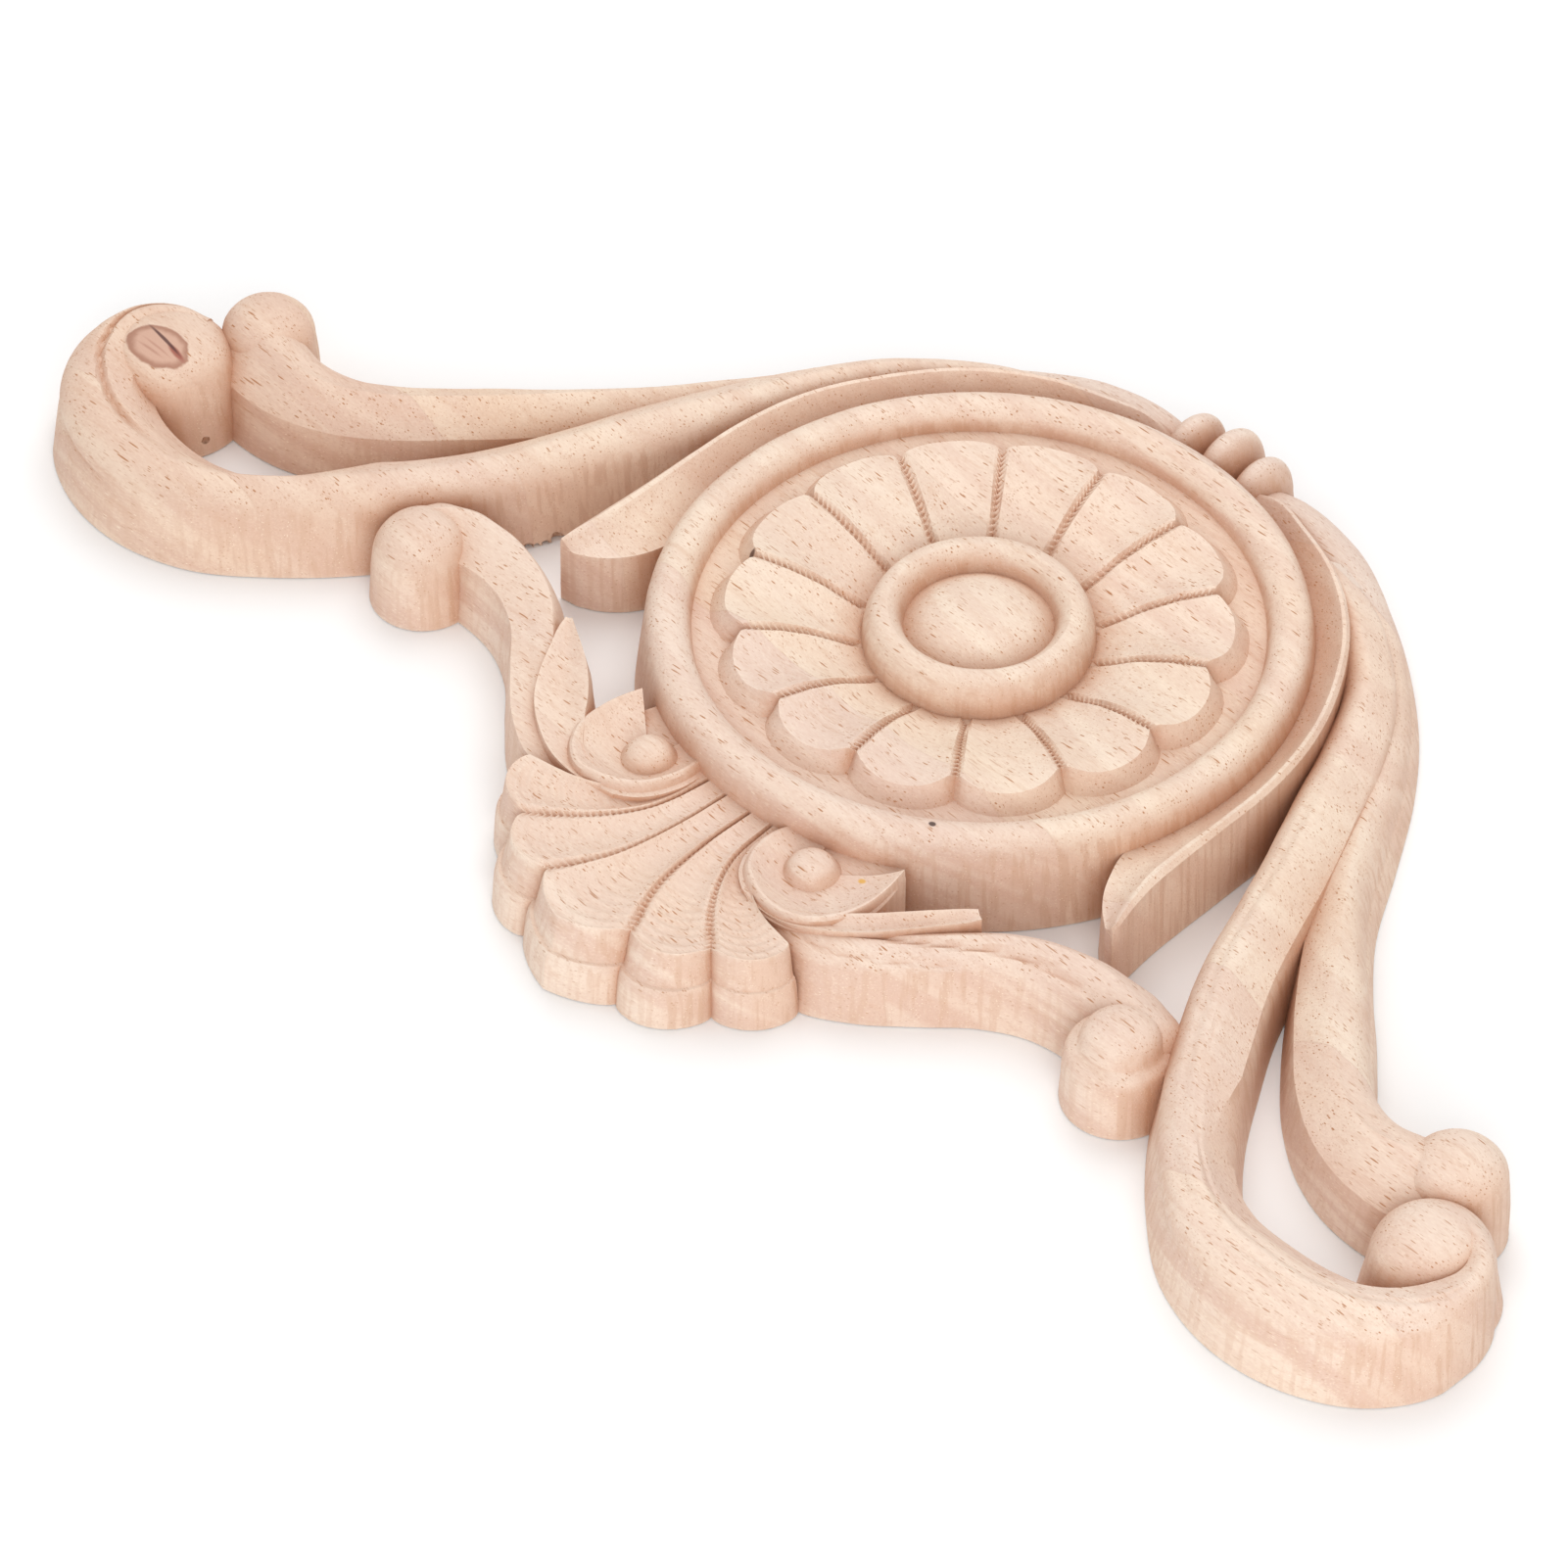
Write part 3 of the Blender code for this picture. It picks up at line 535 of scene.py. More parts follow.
# Tendril, with rows as in SCROLL: near side faces the scroll, far side is the outer outline
TENDRIL = [
    (0.12, 0.98, 0.15, 1.170, 0.17, 0.4, 0.205, 0.14, 0.02, 0.10),
    (0.24, 0.96, 0.28, 1.180, 0.19, 0.4, 0.238, 0.16, 0.02, 0.12),
    (0.44, 0.90, 0.535, 1.145, 0.20, 0.4, 0.242, 0.15, 0.02, 0.11),
    (0.66, 0.80, 0.795, 1.020, 0.20, 0.4, 0.215, 0.11, 0.02, 0.08),
    (0.88, 0.66, 1.050, 0.810, 0.18, 0.4, 0.192, 0.10, 0.02, 0.08),
    (1.06, 0.47, 1.245, 0.58, 0.18, 0.45, 0.195, 0.09, 0.02, 0.07),
    (1.205, 0.24, 1.415, 0.312, 0.18, 0.5, 0.208, 0.09, 0.02, 0.07),
    (1.335, 0.01, 1.565, 0.060, 0.18, 0.55, 0.234, 0.10, 0.02, 0.08),
    (1.465, -0.18, 1.712, -0.112, 0.17, 0.55, 0.246, 0.12, 0.02, 0.10),
    (1.595, -0.36, 1.852, -0.25, 0.17, 0.5, 0.258, 0.14, 0.02, 0.12),
    (1.725, -0.52, 1.96, -0.365, 0.18, 0.5, 0.265, 0.15, 0.02, 0.13),
    (1.88, -0.68, 2.05, -0.46, 0.18, 0.5, 0.272, 0.17, 0.02, 0.13),
    (2.045, -0.795, 2.143, -0.525, 0.18, 0.5, 0.280, 0.18, 0.02, 0.13),
    (2.21, -0.855, 2.255, -0.556, 0.18, 0.5, 0.296, 0.20, 0.02, 0.13),
    (2.38, -0.865, 2.40, -0.53, 0.18, 0.55, 0.314, 0.20, 0.02, 0.13),
    (2.52, -0.84, 2.50, -0.55, 0.18, 0.6, 0.318, 0.20, 0.02, 0.13),
]

# S arm from the shell to the ball, with rows as in SCROLL but for the bevel and its foot: near
# side is the lower outline, far side faces the disc
ARM_BEVEL = (0.0, 0.18)
ARM = {
    1.0: [
        (0.42, -1.33, 0.50, -1.08, 0.19, 0.5, 0.235, 0.20),
        (0.58, -1.335, 0.62, -1.04, 0.19, 0.5, 0.240, 0.20),
        (0.72, -1.26, 0.76, -0.95, 0.19, 0.55, 0.252, 0.205),
        (0.87, -1.13, 0.87, -0.855, 0.20, 0.6, 0.262, 0.21),
        (1.00, -1.01, 0.985, -0.765, 0.20, 0.6, 0.270, 0.21),
        (1.13, -0.94, 1.12, -0.71, 0.20, 0.6, 0.276, 0.21),
        (1.26, -0.92, 1.29, -0.68, 0.20, 0.6, 0.280, 0.21),
        (1.36, -0.93, 1.455, -0.69, 0.19, 0.5, 0.282, 0.215),
        (1.42, -0.95, 1.575, -0.745, 0.18, 0.5, 0.278, 0.215),
        (1.44, -0.98, 1.600, -0.84, 0.18, 0.5, 0.262, 0.21),
        (1.45, -1.00, 1.560, -0.90, 0.17, 0.5, 0.235, 0.20),
    ],
    -1.0: [
        (0.42, -1.33, 0.50, -1.08, 0.20, 0.70, 0.235, 0.20),
        (0.58, -1.335, 0.62, -1.04, 0.21, 0.70, 0.245, 0.20),
        (0.72, -1.26, 0.76, -0.95, 0.22, 0.72, 0.256, 0.20),
        (0.87, -1.13, 0.87, -0.855, 0.232, 0.75, 0.266, 0.20),
        (1.00, -1.01, 0.985, -0.775, 0.235, 0.78, 0.272, 0.20),
        (1.13, -0.945, 1.12, -0.72, 0.230, 0.78, 0.276, 0.20),
        (1.26, -0.925, 1.29, -0.685, 0.220, 0.75, 0.280, 0.20),
        (1.36, -0.93, 1.455, -0.69, 0.200, 0.65, 0.284, 0.21),
        (1.42, -0.95, 1.575, -0.745, 0.190, 0.5, 0.280, 0.21),
        (1.44, -0.98, 1.600, -0.84, 0.180, 0.5, 0.262, 0.21),
        (1.45, -1.00, 1.560, -0.90, 0.170, 0.5, 0.235, 0.20),
    ],
}

# Rows along each band, and the columns on its near and on its far side
BAND_GRIDS = {"scroll": (220, 16, 12), "tendril": (170, 8, 10), "arm": (110, 10, 9), "leaf": (60, 6, 6)}

# How round the sides of the bands are, from 0 for a crisp edge to 1 for a quarter round
TENDRIL_FAR_ROUND = 0.8
ARM_NEAR_ROUND = {1.0: 0.8, -1.0: 0.0}
ARM_FAR_ROUND = 0.2

# Creases: points along a band and across it, or up its near wall, then depth and reach
CREASE_FADE = 0.06
SCROLL_CREASES = {
    1.0: [
        ([(0.56, 0.20), (0.65, 0.33), (0.73, 0.42), (0.80, 0.33), (0.90, 0.18)], 0.013, 0.06),
        ([(0.66, 0.18), (0.75, 0.24), (0.83, 0.16)], 0.008, 0.045),
        ([(0.42, 0.52), (0.58, 0.50), (0.72, 0.56), (0.84, 0.50), (0.93, 0.38)], 0.006, 0.028),
        ([(0.20, 0.38), (0.40, 0.34), (0.58, 0.36)], 0.006, 0.04),
    ],
    -1.0: [
        ([(0.70, 0.56), (0.78, 0.52), (0.83, 0.49), (0.88, 0.43), (0.92, 0.30), (1.0, 0.25)], 0.020, 0.035),
    ],
}
SCROLL_FLANKS = {
    1.0: [([(0.55, 0.15), (0.70, 0.19), (0.92, 0.14)], 0.008, 0.02)],
    -1.0: [([(0.70, 0.17), (0.78, 0.18), (0.97, 0.20)], 0.020, 0.016)],
}
TENDRIL_CREASES = [([(0.55, 0.62), (0.80, 0.60), (1.0, 0.55)], 0.008, 0.07)]
ARM_CREASES = {
    1.0: [
        ([(0.0, 0.62), (0.30, 0.52), (0.60, 0.36), (0.85, 0.25)], 0.018, 0.050),
        ([(0.05, 0.30), (0.25, 0.24), (0.55, 0.16)], 0.012, 0.04),
    ],
    -1.0: [
        ([(0.10, 0.40), (0.45, 0.38), (0.80, 0.45)], 0.004, 0.06),
    ],
}

# Turned bosses, as radius and height
RIGHT_HEAD = [(0.0, 0.316), (0.07, 0.309), (0.125, 0.283), (0.163, 0.237), (0.187, 0.12),
              (0.208, 0.0)]
VOLUTE = [(0.0, 0.335), (0.05, 0.329), (0.10, 0.309), (0.138, 0.265), (0.148, 0.20), (0.158, 0.0)]
BALL = {
    1.0: [(0.0, 0.306), (0.058, 0.299), (0.098, 0.276), (0.117, 0.247), (0.123, 0.226), (0.131, 0.216),
          (0.146, 0.208), (0.158, 0.193), (0.165, 0.165), (0.169, 0.09), (0.173, 0.0)],
    -1.0: [(0.0, 0.300), (0.06, 0.292), (0.11, 0.262), (0.143, 0.215), (0.155, 0.15), (0.161, 0.07),
           (0.166, 0.0)],
}
BALL_PLACE = (1.46, -0.912)
VOLUTE_PLACE = (2.476, -0.617)
EYE = [(0.0, 0.272), (0.035, 0.267), (0.062, 0.250), (0.080, 0.222), (0.090, 0.206), (0.095, 0.12),
       (0.097, 0.0)]
EYE_PLACE = {1.0: (0.355, -1.055), -1.0: (0.312, -1.066)}
LEFT_HEAD = [(0.0, 0.312), (0.08, 0.307), (0.13, 0.297), (0.175, 0.265), (0.203, 0.20), (0.222, 0.10),
             (0.235, 0.0)]
BOSSES = [
    # name, profile and plan place on the right, profile and plan place on the left, steps
    ("head", RIGHT_HEAD, (2.605, -0.860), LEFT_HEAD, (2.612, -0.905), 72),
    ("volute", VOLUTE, VOLUTE_PLACE, VOLUTE, VOLUTE_PLACE, 64),
    ("ball", BALL[1.0], BALL_PLACE, BALL[-1.0], BALL_PLACE, 64),
    ("eye", EYE, EYE_PLACE[1.0], EYE, EYE_PLACE[-1.0], 40),
]
BOSS_ROWS = 26

# Egg shaped beads at the top: middle x, half width, reach from the middle, crest height
MIDDLE_BEAD = (0.0, 0.074, 1.240, 0.322)
SIDE_BEAD = (0.138, 0.070, 1.215, 0.303)
BEAD_START = 0.94
BEAD_WAIST = 0.13
BEAD_DRAFT = 0.01
BEAD_ROWS = 12
BEAD_STEPS = 40


def bead(name, centre, half, reach, crest, collection):
    """An egg shaped bead lying outwards from the rim, with a wall below its widest line."""
    profile = []
    for index in range(BEAD_ROWS + 1):
        turn = index / BEAD_ROWS * math.pi / 2.0
        profile.append((half * math.sin(turn), BEAD_WAIST + (crest - BEAD_WAIST) * math.cos(turn)))
    profile.append((half + BEAD_DRAFT, 0.0))
    stretch = 0.5 * (reach - BEAD_START) / half
    return turned(name, profile, (centre, 0.5 * (reach + BEAD_START)), BEAD_STEPS, collection, stretch)


# Shell: groove lines of the right half, from the rim to the notches between the lobes
GROOVES = [
    [(0.000, -0.97), (0.000, -1.20), (0.000, -1.43), (0.000, -1.62)],
    [(0.048, -0.97), (0.055, -1.20), (0.090, -1.42), (0.172, -1.60)],
    [(0.130, -0.97), (0.165, -1.20), (0.265, -1.37), (0.385, -1.49)],
    [(0.175, -0.97), (0.250, -1.20), (0.400, -1.30), (0.540, -1.33)],
]
NOTCHES = [(0.0, -1.730), (0.192, -1.688), (0.424, -1.528), (0.585, -1.335)]
LOBE_TOP_REACH = (0.105, 0.075, 0.066)
LOBE_FOOT_REACH = (0.065, 0.074, 0.062)
LOBE_ANGLES = (-90.0, -62.0, -38.0)

# Powers of a lobe's outline, and the power at which it grows out on the way from the rim
LOBE_ROUNDNESS = 2.0
LOBE_FULLNESS = 0.7
LOBE_GROWTH = 4

# Height of the shell along a groove line, with the share of the way from the rim
SHELL_RISE = [(0.0, 0.205), (0.3, 0.225), (0.8, 0.25), (1.0, 0.25)]
SHELL_DISH = 0.032
SHELL_HOLLOW = 0.6
SHELL_RIM_POWER = 4
RIPPLE_DEPTH = 0.0035
RIPPLE_PITCH = 0.030
RIPPLE_START = 0.45
SHELL_GROOVE = 0.028
SHELL_GROOVE_REACH = 0.09
SHELL_GROOVE_END = 0.65
SHELL_GROOVE_FADE = 3.0
SHELL_LENGTH = 0.6
SHELL_ALONG = 118

# Rounded front of the shell, as share of the way out to the foot and height
SHELL_FRONT = [(0.05, 0.247), (0.15, 0.226), (0.26, 0.197), (0.36, 0.168), (0.44, 0.147), (0.51, 0.138),
               (0.66, 0.135), (0.78, 0.123), (0.86, 0.099), (0.93, 0.058), (1.0, 0.0)]


def shell(collection):
    """Dished lobes between V grooves, with a rounded scalloped front."""
    lines = [smooth_rows(groove, SHELL_ALONG) for groove in GROOVES]
    columns = [(lobe, across) for lobe in range(len(LOBE_ANGLES)) for across in ACROSS]
    columns.append((len(LOBE_ANGLES) - 1, 1.0))
    grid = []
    for row in range(SHELL_ALONG):
        along = row / (SHELL_ALONG - 1)
        line = []
        for lobe, across in columns:
            bulge = lobe_bulge(lobe, across)
            place = (1.0 - across) * lines[lobe][row] + across * lines[lobe + 1][row]
            place = place + lobe_direction(lobe) * LOBE_TOP_REACH[lobe] * bulge * along ** LOBE_GROWTH
            height = np.interp(along, *zip(*SHELL_RISE))
            height -= SHELL_DISH * bulge * dish_share(along)
            ripple = math.sin(2.0 * math.pi * SHELL_LENGTH * along / RIPPLE_PITCH) * bulge
            height += RIPPLE_DEPTH * ripple * max(0.0, along - RIPPLE_START) / (1.0 - RIPPLE_START)
            fade = min(1.0, SHELL_GROOVE_FADE * (1.0 - along) + SHELL_GROOVE_END)
            phase = 2.0 * math.pi * (SHELL_LENGTH * along + CHATTER_SLANT * across) / CHATTER_PITCH
            height -= groove_share(lobe, across) * fade * (SHELL_GROOVE + CHATTER_DEPTH * math.sin(phase))
            line.append((*place, height))
        grid.append(line)
    edge = grid[-1]
    for reach, height in SHELL_FRONT:
        line = []
        for top, (lobe, across) in zip(edge, columns):
            foot = (1.0 - across) * np.array(NOTCHES[lobe]) + across * np.array(NOTCHES[lobe + 1])
            foot = foot + lobe_direction(lobe) * LOBE_FOOT_REACH[lobe] * lobe_bulge(lobe, across)
            line.append((*(top[:2] + reach * (foot - top[:2])), min(height, top[2])))
        grid.append(line)
    whole = [[(-x, y, z) for x, y, z in reversed(line[1:])] + line for line in grid]
    return relief("shell", whole, collection)


def dish_share(along):
    """How deep a lobe is dished on the way out: fully in its middle, and not at all at its rim."""
    if along < SHELL_HOLLOW:
        return math.sin(0.5 * math.pi * along / SHELL_HOLLOW)
    return 1.0 - ((along - SHELL_HOLLOW) / (1.0 - SHELL_HOLLOW)) ** SHELL_RIM_POWER


def groove_share(lobe, across):
    """Depth of a V groove at a place across a lobe, from one on its line to none away from it."""
    left = 1.0 - across / SHELL_GROOVE_REACH if lobe > 0 else 0.0
    right = 1.0 - (1.0 - across) / SHELL_GROOVE_REACH if lobe < len(LOBE_ANGLES) - 1 else 0.0
    return max(0.0, left, right)


def lobe_bulge(lobe, across):
    """How far a column bulges out. The first lobe is the right half of the middle one."""
    aside = across if lobe == 0 else abs(2.0 * across - 1.0)
    return (1.0 - aside ** LOBE_ROUNDNESS) ** LOBE_FULLNESS


def lobe_direction(lobe):
    """Direction in plan in which a lobe bulges."""
    angle = math.radians(LOBE_ANGLES[lobe])
    return np.array((math.cos(angle), math.sin(angle)))


# Dished scroll beside the shell: rim points around the ball eye and their height, from the wing tip
DISH_RIM = {
    1.0: [
        (0.575, -0.895, 0.266), (0.588, -0.975, 0.264), (0.588, -1.060, 0.262),
        (0.555, -1.165, 0.262), (0.500, -1.228, 0.262), (0.410, -1.255, 0.262),
        (0.325, -1.238, 0.260), (0.235, -1.182, 0.256), (0.195, -1.090, 0.248),
        (0.192, -1.010, 0.236), (0.204, -0.962, 0.226), (0.245, -0.948, 0.218),
        (0.305, -0.940, 0.214),
    ],
    -1.0: [
        (0.499, -0.912, 0.266), (0.520, -0.975, 0.264), (0.530, -1.060, 0.262),
        (0.518, -1.140, 0.262), (0.480, -1.205, 0.262), (0.410, -1.250, 0.262),
        (0.325, -1.238, 0.260), (0.235, -1.182, 0.256), (0.195, -1.090, 0.248),
        (0.192, -1.010, 0.236), (0.204, -0.962, 0.226), (0.235, -0.948, 0.218),
        (0.290, -0.940, 0.214),
    ],
}
DISH_STEPS = 90
DISH_COLUMNS = 12
DISH_FLOOR = 0.212
DISH_START = 0.15
DISH_POWER = 3

# The rim's lip: its share of full width at the wing's tip, the rows it widens over, reach and fall
DISH_TIP = 0.12
DISH_TAPER = 26.0
DISH_LIP = [(0.008, 0.001), (0.016, 0.008), (0.024, 0.028), (0.036, 0.034)]


def dish(collection, side):
    """The hollow round the eye, rising from the eye's foot to a thin raised rim."""
    eye = np.array(EYE_PLACE[side])
    grid = []
    for number, row in enumerate(smooth_rows(DISH_RIM[side], DISH_STEPS)):
        rim, top = row[:2], row[2]
        taper = min(1.0, DISH_TIP + number / DISH_TAPER)
        line = []
        for index in range(DISH_COLUMNS + 1):
            share = DISH_START + (1.0 - DISH_START) * index / DISH_COLUMNS
            height = DISH_FLOOR + (top - DISH_FLOOR) * share ** DISH_POWER
            line.append((*(eye + share * (rim - eye)), height))
        outward = (rim - eye) / np.linalg.norm(rim - eye)
        for reach, fall in DISH_LIP:
            line.append((*(rim + taper * reach * outward), top - fall))
        line.append((*(rim + taper * DISH_LIP[-1][0] * outward), 0.0))
        grid.append(line)
    return relief("dish", grid, collection, side)


# Low wood between each eye and the disc: place by the disc's wall, and place under the dish
SEAT = {
    1.0: [
        (0.24, -0.955, 0.26, -1.02), (0.33, -0.928, 0.35, -1.05),
        (0.43, -0.886, 0.45, -1.00), (0.53, -0.830, 0.555, -0.925),
    ],
    -1.0: [
        (0.24, -0.955, 0.25, -1.02), (0.31, -0.935, 0.31, -1.06),
        (0.38, -0.909, 0.40, -1.01), (0.45, -0.876, 0.475, -0.95),
    ],
}
SEAT_HEIGHT = 0.208


def seat(collection, side):
    """The low wood behind an eye, so that the dish meets the disc."""
    grid = [[(*row[0:2], SEAT_HEIGHT), (*row[2:4], SEAT_HEIGHT)] for row in SEAT[side]]
    return relief("seat", grid, collection, side)


# Leaf between the dish and the S arm, with rows as in SCROLL: near side is the lower outline
LEAF = {
    1.0: [
        (0.27, -1.265, 0.26, -1.18, 0.225, 0.5, 0.212, 0.225, 0.01, 0.20),
        (0.36, -1.292, 0.37, -1.21, 0.235, 0.5, 0.222, 0.235, 0.01, 0.21),
        (0.46, -1.290, 0.46, -1.20, 0.245, 0.5, 0.232, 0.245, 0.01, 0.22),
        (0.58, -1.238, 0.56, -1.13, 0.255, 0.5, 0.240, 0.258, 0.01, 0.23),
        (0.685, -1.155, 0.64, -1.06, 0.262, 0.5, 0.245, 0.268, 0.01, 0.23),
        (0.765, -1.060, 0.705, -0.995, 0.268, 0.5, 0.250, 0.275, 0.01, 0.24),
        (0.83, -0.975, 0.765, -0.935, 0.272, 0.5, 0.258, 0.280, 0.01, 0.24),
        (0.875, -0.915, 0.815, -0.885, 0.276, 0.5, 0.268, 0.282, 0.01, 0.24),
        (0.884, -0.888, 0.840, -0.864, 0.276, 0.5, 0.272, 0.282, 0.005, 0.24),
    ],
    -1.0: [
        (0.27, -1.265, 0.26, -1.18, 0.225, 0.5, 0.212, 0.225, 0.01, 0.20),
        (0.37, -1.297, 0.36, -1.20, 0.238, 0.5, 0.224, 0.238, 0.01, 0.21),
        (0.49, -1.298, 0.44, -1.18, 0.248, 0.5, 0.234, 0.250, 0.01, 0.22),
        (0.62, -1.252, 0.51, -1.10, 0.256, 0.5, 0.242, 0.262, 0.01, 0.23),
        (0.722, -1.178, 0.565, -1.030, 0.262, 0.5, 0.248, 0.272, 0.01, 0.23),
        (0.788, -1.088, 0.635, -0.966, 0.268, 0.5, 0.254, 0.278, 0.01, 0.24),
        (0.838, -0.985, 0.715, -0.922, 0.272, 0.5, 0.262, 0.282, 0.01, 0.24),
        (0.868, -0.912, 0.790, -0.888, 0.276, 0.5, 0.270, 0.283, 0.01, 0.24),
        (0.874, -0.872, 0.846, -0.862, 0.277, 0.5, 0.276, 0.283, 0.004, 0.24),
    ],
}


def build_side(side, forms):
    """The reliefs of one arm, with side 1 for the +X half and -1 for the other."""
    strap(forms, side)
    rows = np.array(SCROLL)
    if side > 0.0:
        rows[SCROLL_SHIFT_START:SCROLL_SHIFT_START + len(SCROLL_SHIFT), 2:4] += SCROLL_SHIFT
    band("scroll", rows, forms, side, carve=creased(SCROLL_CREASES[side], SCROLL_FLANKS[side]))
    band("tendril", TENDRIL, forms, side, 0.0, TENDRIL_FAR_ROUND, creased(TENDRIL_CREASES, []))
    rows = [(*row, *ARM_BEVEL) for row in ARM[side]]
    band("arm", rows, forms, side, ARM_NEAR_ROUND[side], ARM_FAR_ROUND, creased(ARM_CREASES[side], []))
    band("leaf", LEAF[side], forms, side, near_round=0.0)
    dish(forms, side)
    seat(forms, side)
    for name, right, right_place, left, left_place, steps in BOSSES:
        profile, (x, y) = (right, right_place) if side > 0.0 else (left, left_place)
        turned(name, smooth_rows(profile, BOSS_ROWS), (side * x, y), steps, forms)
    bead("side_bead", side * SIDE_BEAD[0], *SIDE_BEAD[1:], forms)


# Chips broken from the left scroll's lower edge, and the small hole in the left head's wall
CHIPS = [
    # x, y, height, reach, and the reach of the painted shade in it, or none
    (-1.384, -0.548, 0.004, 0.017, 0.020),
    (-1.374, -0.524, 0.000, 0.012, 0.0),
    (-1.362, -0.497, 0.000, 0.014, 0.017),
    (-1.348, -0.461, 0.006, 0.024, 0.026),
    (-1.342, -0.445, 0.000, 0.015, 0.0),
    (-2.390, -0.965, 0.055, 0.014, 0.017),
]
CHIP_WAVER = 0.5
CHIP_WAVER_SCALE = 2000.0


def chip(place, reach, collection):
    """A small uneven lump that is cut away."""
    bm = bmesh.new()
    bmesh.ops.create_icosphere(bm, subdivisions=2, radius=metres(reach))
    for vert in bm.verts:
        vert.co *= 1.0 + CHIP_WAVER * noise.noise(vert.co * CHIP_WAVER_SCALE + Vector(place))
        vert.co += Vector(place) * RIM_RADIUS
    finish_object(bm, "chip", collection)


def disc_profile():
    """The disc's profile with each of its curves drawn finely."""
    profile = list(smooth_rows(DOME, DOME_POINTS))[:-1] + list(smooth_rows(RING, RING_POINTS))
    return profile + UNDER_PETALS + FIELD[:-1] + list(smooth_rows(RIM, RIM_POINTS)) + DISC_WALL


def carved_piece():
    """The whole fine carving as one mesh object."""
    scene = bpy.context.scene
    forms = bpy.data.collections.new("relief_forms")
    scene.collection.children.link(forms)
    piece = turned("carved_wood", disc_profile(), (0.0, 0.0), DISC_STEPS, scene.collection)
    rosette(forms)
    shell(forms)
    bead("middle_bead", *MIDDLE_BEAD, forms)
    for side in (1.0, -1.0):
        build_side(side, forms)

    cutters = bpy.data.collections.new("cutters")
    scene.collection.children.link(cutters)
    bm = bmesh.new()
    bmesh.ops.create_cube(bm, size=1.0)
    box = finish_object(bm, "back_cut", cutters)
    box.scale = (1.0, 1.0, BACK_CUT_DEPTH)
    box.location = (0.0, 0.0, -0.5 * BACK_CUT_DEPTH)
    for x, y, z, reach, _ in CHIPS:
        chip((x, y, z), reach, cutters)

    for name, operation, collection in (("Join", "UNION", forms), ("Flat back", "DIFFERENCE", cutters)):
        step = piece.modifiers.new(name, "BOOLEAN")
        step.operation = operation
        step.operand_type = "COLLECTION"
        step.collection = collection
        step.solver = SOLVER
    graph = bpy.context.evaluated_depsgraph_get()
    mesh = bpy.data.meshes.new_from_object(piece.evaluated_get(graph))
    for spent in list(forms.objects) + list(cutters.objects):
        bpy.data.objects.remove(spent)
    bpy.data.collections.remove(forms)
    bpy.data.collections.remove(cutters)
    piece.modifiers.clear()
    piece.data = mesh
    mesh.name = "carved_wood"
    return piece


def roughen(piece):
    """Adds the unevenness of hand work above the back, keeps to the solid's box, and shades the
    faces smooth apart from the crisp edges."""
    mesh = piece.data
    bm = bmesh.new()
    bm.from_mesh(mesh)
    bmesh.ops.remove_doubles(bm, verts=bm.verts, dist=MERGE_REACH)
    bmesh.ops.triangulate(bm, faces=bm.faces)
    low, high = np.array(CAD_BOX[0]), np.array(CAD_BOX[1])
    bm.normal_update()
    for vert in bm.verts:
        if vert.co.z < UNEVEN_START:
            continue
        swell = noise.noise(vert.co * UNEVEN_FINE) * UNEVEN_FINE_SHARE + noise.noise(vert.co * UNEVEN_COARSE)
        vert.co += vert.normal * swell * UNEVEN_DEPTH
    for vert in bm.verts:
        vert.co = np.clip(np.array(vert.co), low, high)
    bm.to_mesh(mesh)
    bm.free()
    mesh.shade_smooth()
    mesh.set_sharp_from_angle(angle=EDGE_ANGLE)


class Nodes:
    """Short calls that add linked nodes to one material."""

    def __init__(self, material):
        self.tree = material.node_tree

    def add(self, kind, output, inputs, **settings):
        """A node with its settings and inputs. Returns one of its outputs."""
        node = self.tree.nodes.new(kind)
        for name, value in settings.items():
            setattr(node, name, value)
        for name, value in inputs.items():
            if isinstance(value, bpy.types.NodeSocket):
                self.tree.links.new(value, node.inputs[name])
            else:
                node.inputs[name].default_value = value
        return node.outputs[output]

    def math(self, operation, *values):
        """A sum, product or other operation on single values."""
        return self.add("ShaderNodeMath", 0, dict(enumerate(values)), operation=operation)

    def scaled(self, vector, scale):
        """The vector with each part multiplied."""
        return self.add("ShaderNodeVectorMath", 0, {0: vector, 1: scale}, operation="MULTIPLY")

    def noise(self, vector, scale, detail=2.0):
        """Noise around one half, at its own scale along each axis."""
        inputs = {"Vector": self.scaled(vector, scale), "Scale": 1.0, "Detail": detail}
        return self.add("ShaderNodeTexNoise", "Fac", inputs)

    def occlusion(self, reach, **settings):
        """How open the wood is within a reach: low in creases, or with inside, low at thin edges."""
        inputs = {"Distance": reach}
        return self.add("ShaderNodeAmbientOcclusion", "AO", inputs, only_local=True, **settings)

    def ramp(self, value, low, high, to_low, to_high):
        """The value carried smoothly from one range to another, and held at its ends."""
        inputs = {"Value": value, 1: low, 2: high, 3: to_low, 4: to_high}
        return self.add("ShaderNodeMapRange", 0, inputs, interpolation_type="SMOOTHSTEP")

    def mix(self, share, first, second, blend="MIX"):
        """Two colours mixed by a share."""
        settings = {"data_type": "RGBA", "blend_type": blend}
        return self.add("ShaderNodeMix", 2, {0: share, 6: first, 7: second}, **settings)


